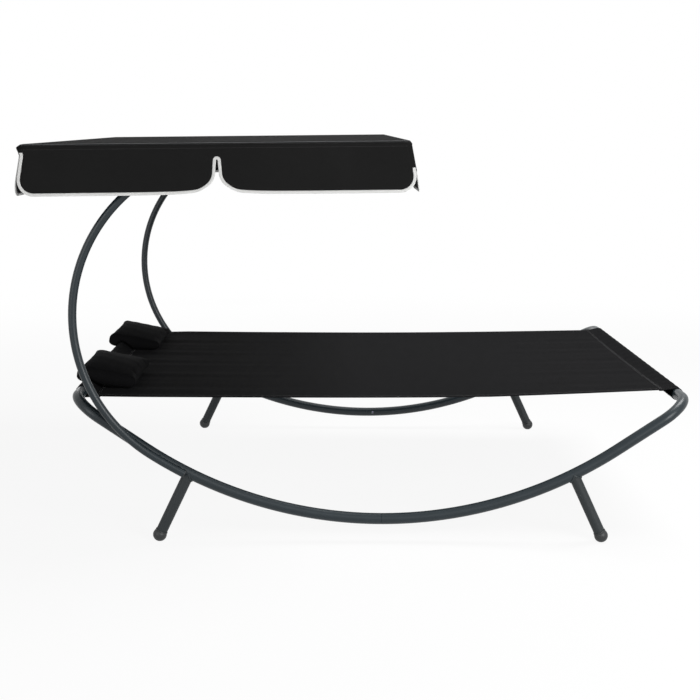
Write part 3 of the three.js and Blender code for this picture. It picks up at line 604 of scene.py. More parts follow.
def saddle(name, onRail, sign, node, radius=0.010, sunk=0.0004):
    # A short round block whose two ends follow the round rail and the round arm
    a = fullTurn(48)
    steps = np.array([0.0, 0.06, 0.5, 0.94, 1.0])[:, None]
    swell = np.array([0.94, 1.0, 1.0, 1.0, 0.94])[:, None, None]
    radial = bowOut(atan2(onRail[0] - shiftX, bowZ - onRail[2]))
    tangent = np.cross(radial, across)
    off = radius * np.sin(a)
    inner = railY + np.sqrt(bed["tube"] ** 2 - off**2) - sunk
    outer = armY - np.sqrt(arms["tube"] ** 2 - off**2) + sunk
    y = sign * (inner + (outer - inner) * steps)
    ring = np.cos(a)[:, None] * tangent + np.sin(a)[:, None] * radial
    points = onRail * [1, 0, 1] + radius * swell * ring + y[..., None] * across
    piece(name, grid(points), "spacer", "frame", node)


def makeArms():
    path, outs = armLine()
    radii = np.full(len(path), arms["tube"])
    for side, sign in sides.items():
        flip, inward = [1.0, sign, 1.0], np.array([0, -sign, 0.0])
        place = path * flip
        piece(f"arm_{side}", grid(carried(place, outs * flip, radii)), "frame", "frame", f"canopy_arm_{side}")
        for where, at, before in (("foot", place[0], place[1]), ("top", place[-1], place[-2])):
            plug = domedPlug(at, at - before, arms["tube"])
            piece(f"arm_plug_{where}_{side}", plug, "plug", "frame", f"arm_{where}_plug_{side}")
        for where, angle in arms["bolts"].items():
            onRail = bowPoint(-angle, sign * railY)
            length = armY - arms["tube"] + 0.008 - (railY - bed["tube"])
            shell = [
                buttonBolt(onRail + inward * (bed["tube"] + 0.0008), inward, "arm", length),
                washer(onRail + inward * (bed["tube"] - 0.0004), inward, arms["bore"], 0.0085, 0.0012),
            ]
            piece(f"arm_bolt_{where}_{side}_shown", shell, "steel", "frame", f"arm_bolt_{where}_{side}")
            saddle(f"arm_saddle_{where}_{side}", onRail, sign, f"arm_spacer_{where}_{side}")


makeArms()


def makeRailBolts(fromJoint=0.025, length=0.010):
    for side, sign in sides.items():
        at = bowPoint(fromJoint / bed["bow"], sign * (railY - bed["tube"] - 0.0004))
        bolt = buttonBolt(at, (0, -sign, 0), "rail", length)
        piece(f"rail_bolt_{side}", bolt, "steel", "frame", f"rail_joint_bolt_{side}")


makeRailBolts()
print("canopy arms and bolts made")

# Canopy frame, measured from the pivot before it is tilted
canopy = {
    "length": 1.180,
    "tube": 0.011,
    "tilt": radians(1.0),
    "drop": 0.021,
    "middle": 0.060,
    "stub": 0.040,
    "fold": 0.014,
    "plateWidth": 0.026,
    "cloth": 0.002,
    "slack": 0.0007,  # between the rails and the cloth
}
plateInner = armY + arms["tube"] + arms["spacer"] + 2 * arms["seat"]
plateOuter = plateInner + arms["plate"]
canopyRailY = plateOuter + canopy["tube"] - 0.0008
coverHalfX = canopy["length"] / 2
coverHalfY = canopyRailY + canopy["tube"] + canopy["slack"] + canopy["cloth"]
coverTop = canopy["drop"] + canopy["tube"] + canopy["slack"] + canopy["cloth"]
endRailX = coverHalfX - canopy["fold"] - canopy["tube"]
crossRails = {"head": -endRailX, "middle": canopy["middle"], "foot": endRailX}


def tilted(points):
    # From the canopy's own place into the part's: turned by its tilt and moved to the pivot
    c, s = cos(canopy["tilt"]), sin(canopy["tilt"])
    x, y, z = np.moveaxis(np.asarray(points, float), -1, 0)
    return together(x * c - z * s, y, x * s + z * c) + pivot


def straightTube(start, end, radius, lip=0.001):
    # A tilted tube with round lips between two points
    start, end = np.array(start, float), np.array(end, float)
    length = np.linalg.norm(end - start)
    stops = np.array([0, lip, length * 0.25, length * 0.5, length * 0.75, length - lip, length])
    radii = np.full(len(stops), radius)
    radii[[0, -1]] -= lip
    path = start + unit(end - start) * stops[:, None]
    return grid(tilted(carried(path, np.broadcast_to(up, path.shape), radii)))


def pivotPlate(sign, edge=0.0008):
    # A plate with two round ends, from the pivot up to the tube that it is welded to
    half = canopy["plateWidth"] / 2
    outline = np.array(arc(0, 0, half, pi, 2 * pi, 25) + arc(0, canopy["drop"], canopy["tube"], 0, pi, 25))
    middle = outline.mean(0)
    rows = []
    for y, inset in ((plateInner, edge), (plateInner + edge, 0), (plateOuter - edge, 0), (plateOuter, edge)):
        shape = middle + (outline - middle) * (1 - inset / half)
        rows.append(together(shape[:, 0], sign * y, shape[:, 1]))
    return grid(tilted(np.array(rows)))


def makeCanopyFrame():
    half = endRailX + canopy["tube"] - arms["seat"]
    z, tube, stub = canopy["drop"], canopy["tube"], canopy["stub"]
    along = np.array([cos(canopy["tilt"]), 0, sin(canopy["tilt"])])
    for side, sign in sides.items():
        y = sign * canopyRailY
        shell = [straightTube((-half, y, z), (half, y, z), tube), pivotPlate(sign)]
        for x in crossRails.values():
            shell.append(straightTube((x, y, z), (x, y - sign * (tube + stub * 0.1), z), tube * 1.08))
        piece(f"canopy_rail_{side}", shell, "frame", "canopy", f"canopy_side_rail_{side}")
        for end, endSign in ends.items():
            plug = domedPlug(tilted([endSign * half, y, z]), endSign * along, tube, 0.0024)
            piece(f"canopy_plug_{end}_{side}", plug, "plug", "canopy", f"canopy_rail_plug_{end}_{side}")
        for where, x in crossRails.items():
            at = tilted([x, y - sign * (tube + stub / 2), z - tube + 0.0002])
            screw = buttonBolt(at, np.cross(across, along), "canopy", 0.008)
            piece(f"canopy_screw_{where}_{side}_shown", screw, "steel", "canopy", f"canopy_screw_{where}_{side}")
    for where, x in crossRails.items():
        rail = straightTube((x, -canopyRailY + 0.004, z), (x, canopyRailY - 0.004, z), tube)
        piece(f"canopy_bar_{where}", rail, "frame", "canopy", f"canopy_cross_rail_{where}")


def makePivots(sunk=0.006):
    armOut = armY + arms["tube"]
    washerFace = armY - arms["tube"] - arms["seat"] - arms["washer"]
    head, tip = plateOuter - 0.00015, washerFace - arms["seat"] - knobShape["thickness"] + 0.0004
    profile = [[0.0036, tip], [0.004, tip + 0.0004], [0.004, head - 0.004], [0.008, head - 0.0002], [0.0078, head]]
    profile += [[0.0031, head], [0.003, head - 0.0022], [0.001, head - 0.0024]]
    for side, sign in sides.items():
        outward = np.array([0, sign, 0.0])
        at = pivot + outward * (armOut - sunk)
        rim = washer(at, outward, arms["bore"], 0.011, plateInner - arms["seat"] - armOut + sunk, 0.0008)
        piece(f"pivot_sleeve_{side}", rim, "spacer", "frame", f"pivot_spacer_{side}")
        disc = washer(pivot + outward * washerFace, outward, arms["bore"], 0.009, 0.0065, 0.0004)
        piece(f"pivot_washer_{side}", disc, "steel", "frame", f"knob_washer_{side}")
        bolt = grid(turned(pivot, outward, profile, 48, range(5, 8)))
        piece(f"pivot_bolt_{side}_shown", bolt, "steel", "canopy", f"pivot_bolt_{side}")
        knob = grid(knobSurface(washerFace - arms["seat"], sign))
        piece(f"knob_{side}", knob, "knob", f"tilt_knob_{side}", f"tilt_knob_{side}")


knobShape = {
    "radius": 0.020,
    "thickness": 0.014,
    "hub": 0.009,
    "hubLength": 0.006,
    "edge": 0.003,
    "lobes": 5,
    "share": 0.09,  # of the radius, that the lobes rise
}


def knobSurface(face, sign):
    # A hub that widens into a grip; the grip's radius rises and falls with the lobes' cosine
    hub, radius, edge = knobShape["hub"], knobShape["radius"], knobShape["edge"]
    top = face - knobShape["hubLength"]
    back = top - knobShape["thickness"]
    profile = [[0.0046, face], [hub - 0.0008, face], [hub, face - 0.0008]]
    profile += [[hub, top + 0.0025], [hub + 0.0014, top + 0.0007], [hub + 0.003, top]]
    profile += arc(radius - edge, top - edge, edge, pi / 2, 0)
    profile += arc(radius - edge, back + edge, edge, 0, -pi / 2)
    profile += [[radius * 0.62, back], [radius * 0.55, back + 0.0012], [radius * 0.1, back + 0.0014]]
    profile = np.array(profile)
    a = fullTurn(120)
    grip = np.clip((profile[:, :1] - hub) / (radius - hub), 0, 1)
    reach = profile[:, :1] * (1 + grip * knobShape["share"] * (np.cos(knobShape["lobes"] * a) - 1))
    return pivot + together(reach * np.cos(a), sign * profile[:, 1:], reach * np.sin(a))


makeCanopyFrame()
makePivots()
print("canopy frame and pivots made")


# Canopy cover: a sagging field, rings over the fold, and panels that hang from the last ring. Pairs hold
# what differs between the head and foot ends, whose axis is 0, and the two long sides, whose axis is 1
cover = {
    "depth": 0.156,
    "flare": (0.025, 0.012),
    "panels": (3, 2),
    "stations": (79, 61),
    "sag": 0.014,
    "hem": 0.034,
    "slit": {"top": 0.054, "half": 0.0034, "lowHalf": 0.0062, "corner": 0.066},
    "cornerSlit": {"head": 0.032, "foot": 0.0876, "half": 0.003, "corner": 0.060},
    "thickness": 0.0014,
    "inside": 0.0012,  # from the outside of the hood to the cloth's middle
    "wave": 0.0022,
    "ridge": 0.0010,  # of the piped seam along the fold
    "rise": 0.012,  # of a panel's lower edge towards its slits
    "riseStart": 0.035,
    "riseReach": 0.055,
    "ear": {"out": 0.012, "at": 0.012, "along": 0.045, "down": 0.014, "end": 0.05},  # at the near head corner
    "closed": {"along": 0.06, "down": 0.03},  # how far the closed corners hold the cloth still
    "wrinkle": 0.0007,
}
foldRadius = canopy["fold"] - cover["inside"]
coverHalf = (coverHalfX, coverHalfY)
flatHalf = tuple(half - cover["inside"] - foldRadius for half in coverHalf)


def fall(axis, drop):
    # At a drop down a side, how far out it is and how much cloth leads there, both from where the fold
    # starts: round the fold, then straight at the side's flare
    slope = atan2(cover["flare"][axis], cover["depth"] - canopy["fold"])
    turn = np.arccos(np.clip(1 - drop / foldRadius, sin(slope), 1))
    rest = np.maximum(drop - foldRadius * (1 - sin(slope)), 0) / cos(slope)
    return foldRadius * np.sin(turn) + rest * sin(slope), foldRadius * turn + rest


def slitGap(size, drop):
    # Half the width cut away at a drop: it opens evenly, then round the panel's lower corner
    past = np.clip(drop - (cover["depth"] - size["corner"]), 0, size["corner"])
    gap = size["half"] + size["corner"] - np.sqrt(size["corner"] ** 2 - past**2)
    if "lowHalf" in size:
        share = np.clip((drop - size["top"]) / (cover["depth"] - size["corner"] - size["top"]), 0, 1)
        gap = gap + (size["lowHalf"] - size["half"]) * share
    return gap


class HoodSide:
    # One side of the hood: an end (axis 0) or a long side (axis 1), at the minus or plus end of its axis
    def __init__(self, axis, sign, phase):
        self.axis, self.sign, self.phase = axis, sign, phase
        self.panels = cover["panels"][axis]
        self.slits = 2 * np.arange(1, self.panels) / self.panels - 1  # as shares of the corners' places

    def corner(self, drop):
        # Half the side's width between its slanted corners
        return flatHalf[1 - self.axis] + fall(1 - self.axis, drop)[0]

    def wave(self, place, drop):
        # A slow in-and-out swing that grows with the drop, and the ridge of the piped seam. The corners
        # that are closed at the foot end hold the cloth still
        rates = ((1, 7.3), (0.5, 17.1), (0.25, 41))
        swing = waves(*((height, place * rate + k * self.phase) for k, (height, rate) in enumerate(rates, 1)))
        share = np.clip((drop - 0.02) / (cover["depth"] - 0.02), 0, 1.1)
        toFoot = self.corner(drop) - (place if self.axis else np.abs(place))
        past = (drop - cover["cornerSlit"]["foot"]) / cover["closed"]["down"]
        closed = np.exp(-((toFoot / cover["closed"]["along"]) ** 2)) * np.clip(1 - past, 0, 1)
        still = 0 if self is hoodSides["head"] else closed
        ridge = cover["ridge"] * np.exp(-(((drop - foldRadius * 0.8) / 0.002) ** 2))
        return cover["wave"] * swing * share**1.5 * (1 - still) + ridge

    def at(self, place, drop):
        # Points in the canopy's own place, and their places on the flat cloth
        out, run = fall(self.axis, drop)
        out = self.sign * (flatHalf[self.axis] + out + self.wave(place, drop))
        run = self.sign * (flatHalf[self.axis] + run)
        height = coverTop - cover["inside"] - drop
        if self.axis:
            return together(place, out, height), together(place, run)
        return together(out, place, height), together(run, place)

    def sheet(self, place, drop):
        points, cloth = self.at(place, drop)
        return grid(draped(points), "sheet", cloth)

    def shares(self):
        # Places along the side as shares of its corners', with one on each side of every slit
        base = np.linspace(-1, 1, cover["stations"][self.axis])
        base = base[(np.abs(base[:, None] - self.slits[None]) > 0.012).all(1)]
        beside = np.array([-1, 1]) * cover["slit"]["half"] / coverHalf[1 - self.axis]
        return np.sort(np.concatenate([base, (self.slits[:, None] + beside).ravel()]))

    def cornerTop(self, first):
        # Where the slit starts at its first or last corner
        atHead = first if self.axis else self.sign < 0
        return cover["cornerSlit"]["head" if atHead else "foot"]

    def cornerEdge(self, drop, first):
        # Where its corner panel ends: on the slanted corner above its slit, and inside it below
        cut = slitGap(cover["cornerSlit"], drop)
        return self.corner(drop) - np.where(drop > self.cornerTop(first) + 1e-6, cut, 0)

    def panelEdges(self, number, drop):
        # The two upright edges of a panel at each drop
        top, gap = self.corner(cover["slit"]["top"]), slitGap(cover["slit"], drop)
        atFirst, atLast = number == 0, number == self.panels - 1
        left = -self.cornerEdge(drop, True) if atFirst else top * self.slits[number - 1] + gap
        right = self.cornerEdge(drop, False) if atLast else top * self.slits[number] - gap
        return left, right


hoodSides = {
    "near": HoodSide(1, -1, 0.4),
    "far": HoodSide(1, 1, 1.9),
    "head": HoodSide(0, -1, 3.1),
    "foot": HoodSide(0, 1, 4.6),
}


def draped(points):
    # The hood's cloth as it lies: an ear stands out at the near head corner, and each panel's lower
    # edge rises by rise * exp(-distance / reach) towards the slits
    x, y, z = np.moveaxis(points, -1, 0)
    drop, ear = coverTop - z, cover["ear"]
    out = ear["out"] * np.exp(-(((y + coverHalfY) / ear["along"]) ** 2) - ((drop - ear["at"]) / ear["down"]) ** 2)
    out = out * np.clip(1 - (x + coverHalfX) / ear["end"], 0, 1)
    low = np.clip((drop - cover["slit"]["top"]) / (cover["depth"] - cover["slit"]["top"]), 0, 1) ** 2
    onEnd = np.abs(x) / coverHalfX > np.abs(y) / coverHalfY
    away = np.where(onEnd, np.abs(np.abs(y) - coverHalfY / 3), np.abs(x))
    rise = cover["rise"] * np.exp(-np.maximum(away - cover["riseStart"], 0) / cover["riseReach"]) * low
    return tilted(together(x - out, y, z + rise))


def fieldGrid():
    u, v = np.meshgrid(hoodSides["near"].shares(), hoodSides["head"].shares(), indexing="ij")
    x, y = u * flatHalf[0], v * flatHalf[1]
    sagX, sagY = coverHalfX - cover["hem"], coverHalfY - cover["hem"]
    # a squared sine along each bay between the cross rails, fading to the side rails
    middle = canopy["middle"]
    share = np.where(x < middle, (x + sagX) / (middle + sagX), (x - middle) / (sagX - middle))
    bay = np.sin(pi * np.clip(share, 0, 1))
    fade = np.cos(pi / 2 * np.clip(np.abs(y) / sagY, 0, 1))
    wrinkle = cover["wrinkle"] * np.sin(x * 31 + 3 * np.sin(y * 5)) * np.exp(-(((1 - fade) / 0.5) ** 2)) * bay
    z = coverTop - cover["inside"] - cover["sag"] * bay**2 * fade**2 - np.abs(wrinkle)
    return grid(draped(together(x, y, z)), "sheet", together(x, y))


def makeCover():
    # The field, and for each side the rings over the fold, a band and its panels, welded into one cloth
    grids = [fieldGrid()]
    slope = np.linspace(0, pi / 2, 9)
    ringDrops = np.concatenate([foldRadius * (1 - np.cos(slope)), [0.016, 0.022, 0.032]])[:, None]
    bandDrops = np.array([0.032, 0.034, 0.044, 0.054])[:, None]
    curve = cover["cornerSlit"]["corner"]
    low = cover["depth"] - curve
    turn = np.linspace(0, pi / 2, 17)[1:]
    panelDrops = np.concatenate([np.linspace(cover["slit"]["top"], low, 6), low + curve * np.sin(turn)])[:, None]
    for side in hoodSides.values():
        shares = side.shares()
        grids.append(side.sheet(shares * side.corner(ringDrops), ringDrops))
        # between the corner slits' tops and the slits' tops the side is one band
        band = shares * side.corner(bandDrops)
        band[1:, 0] = -side.cornerEdge(bandDrops, True)[1:, 0]
        band[1:, -1] = side.cornerEdge(bandDrops, False)[1:, 0]
        grids.append(side.sheet(band, bandDrops))
        stops = [-1, *side.slits, 1]
        for number in range(side.panels):
            left, right = side.panelEdges(number, panelDrops)
            inside = shares[(shares > stops[number] - 1e-9) & (shares < stops[number + 1] + 1e-9)]
            place = left + (right - left) * (inside - inside[0]) / (inside[-1] - inside[0])
            place[0] = inside * side.corner(panelDrops)[0]
            if number == 0:
                place[0, 0] = left[0, 0]
            if number == side.panels - 1:
                place[0, -1] = right[0, 0]
            grids.append(side.sheet(place, panelDrops))
    return piece("canopy_hood", grids, "canopy", "canopy", "canopy_cover", 60, 0.00005, cover["thickness"])


tape = {"width": 0.0086, "thickness": 0.0034, "over": 0.0010, "tuck": 0.006, "seam": 0.82, "oval": 0.6}


def tapePath(side):
    # Along all free edges of a side: down a corner slit, along each panel's bottom and round each slit's top
    runs = []
    for number in range(side.panels):
        for first in (True, False):
            atCorner = number == (0 if first else side.panels - 1)
            size = cover["cornerSlit" if atCorner else "slit"]
            low = cover["depth"] - size["corner"]
            top = side.cornerTop(first) if atCorner else size["top"]
            start = top - (tape["tuck"] if atCorner else 0)
            turn = np.linspace(0, pi / 2, 26)[1:]
            drop = np.concatenate([np.linspace(start, low, 16), low + size["corner"] * np.sin(turn)])
            edge = side.panelEdges(number, np.maximum(drop, top + 0.0001))[0 if first else 1]
            run = together(edge, drop)
            runs.append(run if first else run[::-1])
            if first:
                nextEdge = side.panelEdges(number, np.array([cover["depth"]]))[1][0]
                bottom = np.linspace(edge[-1], nextEdge, int((nextEdge - edge[-1]) / 0.006))[1:-1]
                runs.append(together(bottom, cover["depth"]))
            elif not atCorner:
                middle = side.slits[number] * side.corner(size["top"])
                over = np.linspace(pi, 0, 15)[1:-1]
                runs.append(together(middle + size["half"] * np.cos(over), size["top"] - size["half"] * np.sin(over)))
    return np.concatenate(runs)


def tapeFrame(side, small=0.001):
    # Points along a side's edge, the direction into the cloth and the cloth's own outward direction
    path = tapePath(side)
    step = unit(np.gradient(path, axis=0))
    place, drop = path.T
    edge = side.at(place, drop)[0]
    along = side.at(place + small, drop)[0] - edge
    down = side.at(place, drop + small)[0] - edge
    into = unit(step[:, 1:] * along - step[:, :1] * down)
    normal = unit(np.cross(along, down))
    return edge, into, normal * np.sign(side.sign * normal[:, side.axis])[:, None]


def makeTapes():
    # A flat oval carried along each side's edge, from just outside it to a tape's width inside
    a = fullTurn(18)
    ovalX, ovalY = (np.sign(f) * np.abs(f) ** tape["oval"] for f in (np.cos(a), np.sin(a)))
    wide = (1 - ovalX) / 2 * (tape["width"] + tape["over"]) - tape["over"]
    thick = tape["thickness"] / 2 * ovalY
    made, rows = [], []
    for name, side in hoodSides.items():
        edge, into, normal = tapeFrame(side)
        ring = edge[:, None] + wide[:, None] * into[:, None] + thick[:, None] * normal[:, None]
        cloth = together(runAlong(edge)[:, None], wide + thick)
        made.append(piece(f"edge_tape_{name}", grid(draped(ring), "tube", cloth), "tape", "canopy", sharp=50))
        for face in (-1, 1):
            line = edge + into * (tape["width"] * tape["seam"]) + normal * (face * tape["thickness"] * 0.44)
            rows.append((draped(line), draped(line + normal * face) - draped(line)))
    return made + [sew("tape_stitches", rows, "whiteThread", "canopy")]


def sew(name, rows, finish, body, pitch=0.0048, length=0.0034, thick=0.00035, slot=None):
    # A stitch every pitch along each line: a small capsule, half sunk along the cloth's normal
    stops = np.array([-0.5, -0.42, 0.0, 0.42, 0.5])[:, None, None] * length
    radii = np.array([0.25, 0.8, 1.0, 0.8, 0.25])[:, None, None] * thick
    a = fullTurn(6)[:, None]
    grids = []
    for line, normal in rows:
        run = runAlong(line)
        at = np.arange(pitch, run[-1] - pitch, pitch)
        pick = lambda values, stop: together(*(np.interp(stop, run, values[:, k]) for k in range(3)))
        along = unit(pick(line, at + length / 2) - pick(line, at - length / 2))
        lift = unit(pick(normal, at))
        side = np.cross(along, lift)
        place, along, lift, side = (v[:, None, None] for v in (pick(line, at), along, lift, side))
        grids.append(capsules(place + stops * along + radii * (np.cos(a) * lift + np.sin(a) * side)))
    return piece(name, grids, finish, body, "", 70, slot=slot)


def capsules(points):
    # Many capsules as one set of faces: their side faces and two lids each
    count, rows, columns = points.shape[:3]
    starts = np.arange(count)[:, None] * rows * columns
    first = np.arange(columns)
    lids = (starts + first).tolist() + (starts + (rows - 1) * columns + first[::-1]).tolist()
    quads = (starts[:, None] + cells(rows, columns, False, True)[:, ::-1]).reshape(-1, 4)
    return {"points": points.reshape(-1, 3), "quads": quads, "lids": lids, "cloth": None}


def foldStitches(drops=(0.45, 1.35), short=0.004):
    # Two rows beside the piped seam, one over the fold and one under it
    rows = []
    for side in hoodSides.values():
        for drop in foldRadius * np.array(drops):
            half = float(side.corner(drop)) - short
            place = np.linspace(-half, half, 300)
            line = side.at(place, drop)[0]
            inner = side.at(place, drop + 0.001)[0] - line
            normal = unit(np.cross(np.gradient(line, axis=0), inner))
            normal *= np.sign(((line - [0, 0, coverTop - 0.05]) * normal).sum(1))[:, None]
            line = line + normal * (cover["thickness"] / 2 + 0.0001)
            rows.append((draped(line), draped(line + normal) - draped(line)))
    return [sew("fold_stitches", rows, "thread", "canopy")]


def makeHighlightPiping(radius=0.0015, drop=0.0022):
    # A thin cord under the cloth along the top of the fold, from mitre to mitre; its colour, lighter than the cloth,
    # paints the fold's highlight
    made = []
    for name, side in hoodSides.items():
        half = float(side.corner(drop))
        path = draped(side.at(np.linspace(-half, half, 160), drop)[0])
        cord = grid(carried(path, np.broadcast_to(up, path.shape), radius, 10))
        made.append(piece(f"fold_piping_highlight_{name}", cord, "piping", "canopy", sharp=60))
    return made


def sideArea(side):
    # The cloth's width at each drop, without the slits, summed over its run
    drop = np.linspace(0, cover["depth"], 400)
    gap = slitGap(cover["slit"], drop) * (drop > cover["slit"]["top"])
    width = side.cornerEdge(drop, True) + side.cornerEdge(drop, False) - 2 * len(side.slits) * gap
    return ((width[1:] + width[:-1]) / 2 * np.diff(fall(side.axis, drop)[1])).sum()


def declareCover():
    hood = makeCover()
    area = 4 * flatHalf[0] * flatHalf[1] + sum(sideArea(side) for side in hoodSides.values())
    length, width = (2 * (flatHalf[axis] + fall(axis, cover["depth"])[1]) for axis in (0, 1))
    print("hood cut from", round(float(width), 3), "by", round(float(length), 3), "m, area", round(float(area), 3))
    trim = makeTapes() + foldStitches() + makeHighlightPiping()


declareCover()
print("canopy cover made")


# Bed cloth: one strip from the seam under the head sleeve, round its tube, along the bed and round the other
sling = {
    "margin": 0.060,
    "middle": 0.443,
    "sleeve": 0.042,
    "headDrop": 0.011,
    "footRise": 0.006,
    "lap": 0.022,
    "thickness": 0.0016,
    "hem": 0.026,
    "under": 0.0021,
    "pull": 0.0007,  # height of the pull lines at the foot tube
    "headPull": 0.0008,  # more of it at the head tube
    "pullFade": 0.30,
    "swell": 0.0012,
    "hemRise": 0.0006,
    "ripple": 0.0005,
    # how much higher the long edges lie than the middle: places along the bed, and heights there
    "nearEdge": ([-0.93, -0.79, 0.36, 0.62, 0.93], [-0.004, -0.005, -0.004, 0.001, 0.0075]),
    "farEdge": ([-0.93, -0.76, -0.50, 0.35, 0.93], [0.004, 0.008, 0.007, 0.006, 0.004]),
}
slingHalf = railY - bed["bend"] - sling["margin"]
seamX = crossX - sling["sleeve"]
seamHeights = {"head": crossZ - sling["headDrop"], "foot": crossZ + sling["footRise"]}


def plainHeight(x):
    # A parabola through the two seams and the middle
    slope = (seamHeights["foot"] - seamHeights["head"]) / 2
    rise = (seamHeights["foot"] + seamHeights["head"]) / 2 - sling["middle"]
    return sling["middle"] + slope * x / seamX + rise * (x / seamX) ** 2


def crossSlope(x, y):
    # The long edges' heights, falling off to the middle with the square of the distance
    edge = np.where(y < 0, np.interp(x, *sling["nearEdge"]), np.interp(x, *sling["farEdge"]))
    return edge * (y / slingHalf) ** 2


def sheetHeight(x, y):
    # The parabola, the cross slope, pull lines that fade away from the tubes, and a slow swell
    fromEnd = np.clip(seamX - np.abs(x), 0, None)
    fade = np.exp(-fromEnd / sling["pullFade"]) * np.clip(fromEnd / 0.02, 0, 1)
    pulls = waves((1, y * 41 + 0.6), (0.7, y * 67 + 2.1), (0.5, y * 23 + 4.0 + x * 2))
    swell = sling["swell"] * np.sin(x * 3.1 + 0.5) * np.sin(y * 4.3 + 1.2) * (1 - (x / seamX) ** 2)
    return plainHeight(x) + crossSlope(x, y) + fade * (sling["pull"] + sling["headPull"] * (x < 0)) * pulls + swell


def tangentPoint(point, centre, radius, side):
    # Where a line from a point touches a circle, on its upper (-1) or lower (1) side
    away = point - centre
    return atan2(away[1], away[0]) + side * acos(radius / hypot(*away))


def sleeveLine(seamZ, count=40):
    # A foot sleeve from its top seam over the tube and back under it, as pairs of x and z
    radius = bed["tube"] + arms["seat"] + sling["thickness"] / 2 + 0.0004
    centre = np.array([crossX, crossZ])
    topSeam, lowSeam = np.array([seamX, seamZ]), np.array([seamX, seamZ - sling["under"]])
    first = tangentPoint(topSeam, centre, radius, -1)
    last = tangentPoint(lowSeam, centre, radius, 1) - 2 * pi
    ring = np.array(arc(*centre, radius, first, last, count))
    rise = np.linspace(0, 1, 8)[:-1, None]
    return np.concatenate([topSeam + (ring[0] - topSeam) * rise, ring, lowSeam + (ring[-1] - lowSeam) * rise[::-1]])


def slingLine():
    # The whole strip in x and z at y = 0, before the sheet's own height is put in: a sleeve and its lap,
    # the sheet, and the other sleeve and lap
    x = np.linspace(-seamX, seamX, 150)[1:-1]
    lap = np.linspace(1, 0, 5)[1:-1]
    under = together(seamX - sling["lap"] * (1 - lap), 0 * lap)
    foot = np.concatenate([sleeveLine(seamHeights["foot"]), under])
    head = np.concatenate([sleeveLine(seamHeights["head"]), under]) * [-1, 1]
    return np.concatenate([head[::-1], together(x, 0 * x), foot]), len(foot), len(under)


def makeSling():
    # The strip's line carried across the bed, with the sheet's height, its hems and the sleeves' ripple
    line, footCount, lapCount = slingLine()
    # where the cross slope still counts: from the seams to where the sleeve meets its tube
    sleeve = np.zeros(footCount)
    sleeve[:8] = np.linspace(1, 0, 8)
    sleeve[footCount - lapCount - 8 : footCount - lapCount] = np.linspace(0, 1, 8)
    firm = np.concatenate([sleeve[::-1], np.zeros(len(line) - 2 * footCount), sleeve])[:, None]
    hemShares = np.linspace(0.955, 1, 6)[1:]
    y = np.concatenate([-hemShares[::-1], np.linspace(-0.955, 0.955, 120), hemShares]) * slingHalf
    x, z, wide = (np.array(v) for v in np.broadcast_arrays(line[:, :1], line[:, 1:], y))
    onSheet, laps = np.zeros(len(line), bool), np.zeros(len(line), bool)
    onSheet[footCount:-footCount] = True
    laps[:lapCount] = laps[-lapCount:] = True
    z += crossSlope(x, wide) * firm
    z[onSheet] = sheetHeight(x[onSheet], wide[onSheet])
    z[laps] = sheetHeight(x[laps], wide[laps]) - sling["under"]
    hem = np.clip((np.abs(wide) - (slingHalf - sling["hem"])) / 0.003, 0, 1)
    z += sling["hemRise"] * hem * onSheet[:, None]
    z += sling["ripple"] * np.sin(wide * 90 + x * 3) * (~onSheet & ~laps)[:, None]
    points = together(x + shiftX, wide, z)
    run = runAlong(points[:, len(y) // 2])
    sheet = grid(points, "sheet", together(run[:, None], wide))
    made = piece("bed_sheet", sheet, "bed", "frame", "sling", 60, 0.00001, sling["thickness"])
    length, tubes = float(run[-1]), ["head_cross_tube", "foot_cross_tube"]
    slingStitches()
    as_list(tubes)
    return length


def slingStitches(back=0.004, second=0.010):
    # Two rows across each sleeve's seam and one along each hem, on the sheet's upper side
    lift = up * (sling["thickness"] / 2 + 0.0001)
    y = np.linspace(-slingHalf + back, slingHalf - back, 400)
    rows = []
    for endSign in ends.values():
        for seam in (back, second):
            x = endSign * (seamX - seam)
            rows.append(together(x + shiftX, y, sheetHeight(x, y)) + lift)
    x = np.linspace(-seamX + back, seamX - back, 600)
    for sign in sides.values():
        y = sign * (slingHalf - sling["hem"] + back)
        rows.append(together(x + shiftX, y, sheetHeight(x, y) + sling["hemRise"]) + lift)
    rows = [(row, np.broadcast_to(up, row.shape)) for row in rows]
    return sew("bed_stitches", rows, "thread", "frame", 0.0055, 0.004, 0.0004, "bed_cloth")


slingLength = makeSling()
print("bed cloth made, strip", round(slingLength, 3), "m long")

# Pillows: crowned blocks, filled by a cloth simulation and sunk on what they lie on
pillow = {
    "length": 0.400,
    "width": 0.208,
    "thickness": 0.061,
    "crown": 0.018,
    "drawIn": 0.007,
    "sink": {"near": 0.007, "far": 0.015},
    "shift": {"near": (-0.003, 0, -0.001), "far": (-0.015, 0, 0.001)},  # from its even place
    "overSheet": 0.0013,  # of its front edge
    "overTube": 0.0026,  # of its underside
    "over": 0.0016,  # of what lies on the cloth
    "below": 0.004,  # how far under its base it still gives way
    "spacing": 0.800,
    "overhang": 0.042,
    "voxel": 0.0055,
    "cap": 0.005,
    "pressure": 4.0,
    "shrink": 0.0035,
    "depth": 0.052,  # over which the filling gives way
    "crease": 0.0010,
    "fineCrease": 0.0003,
}


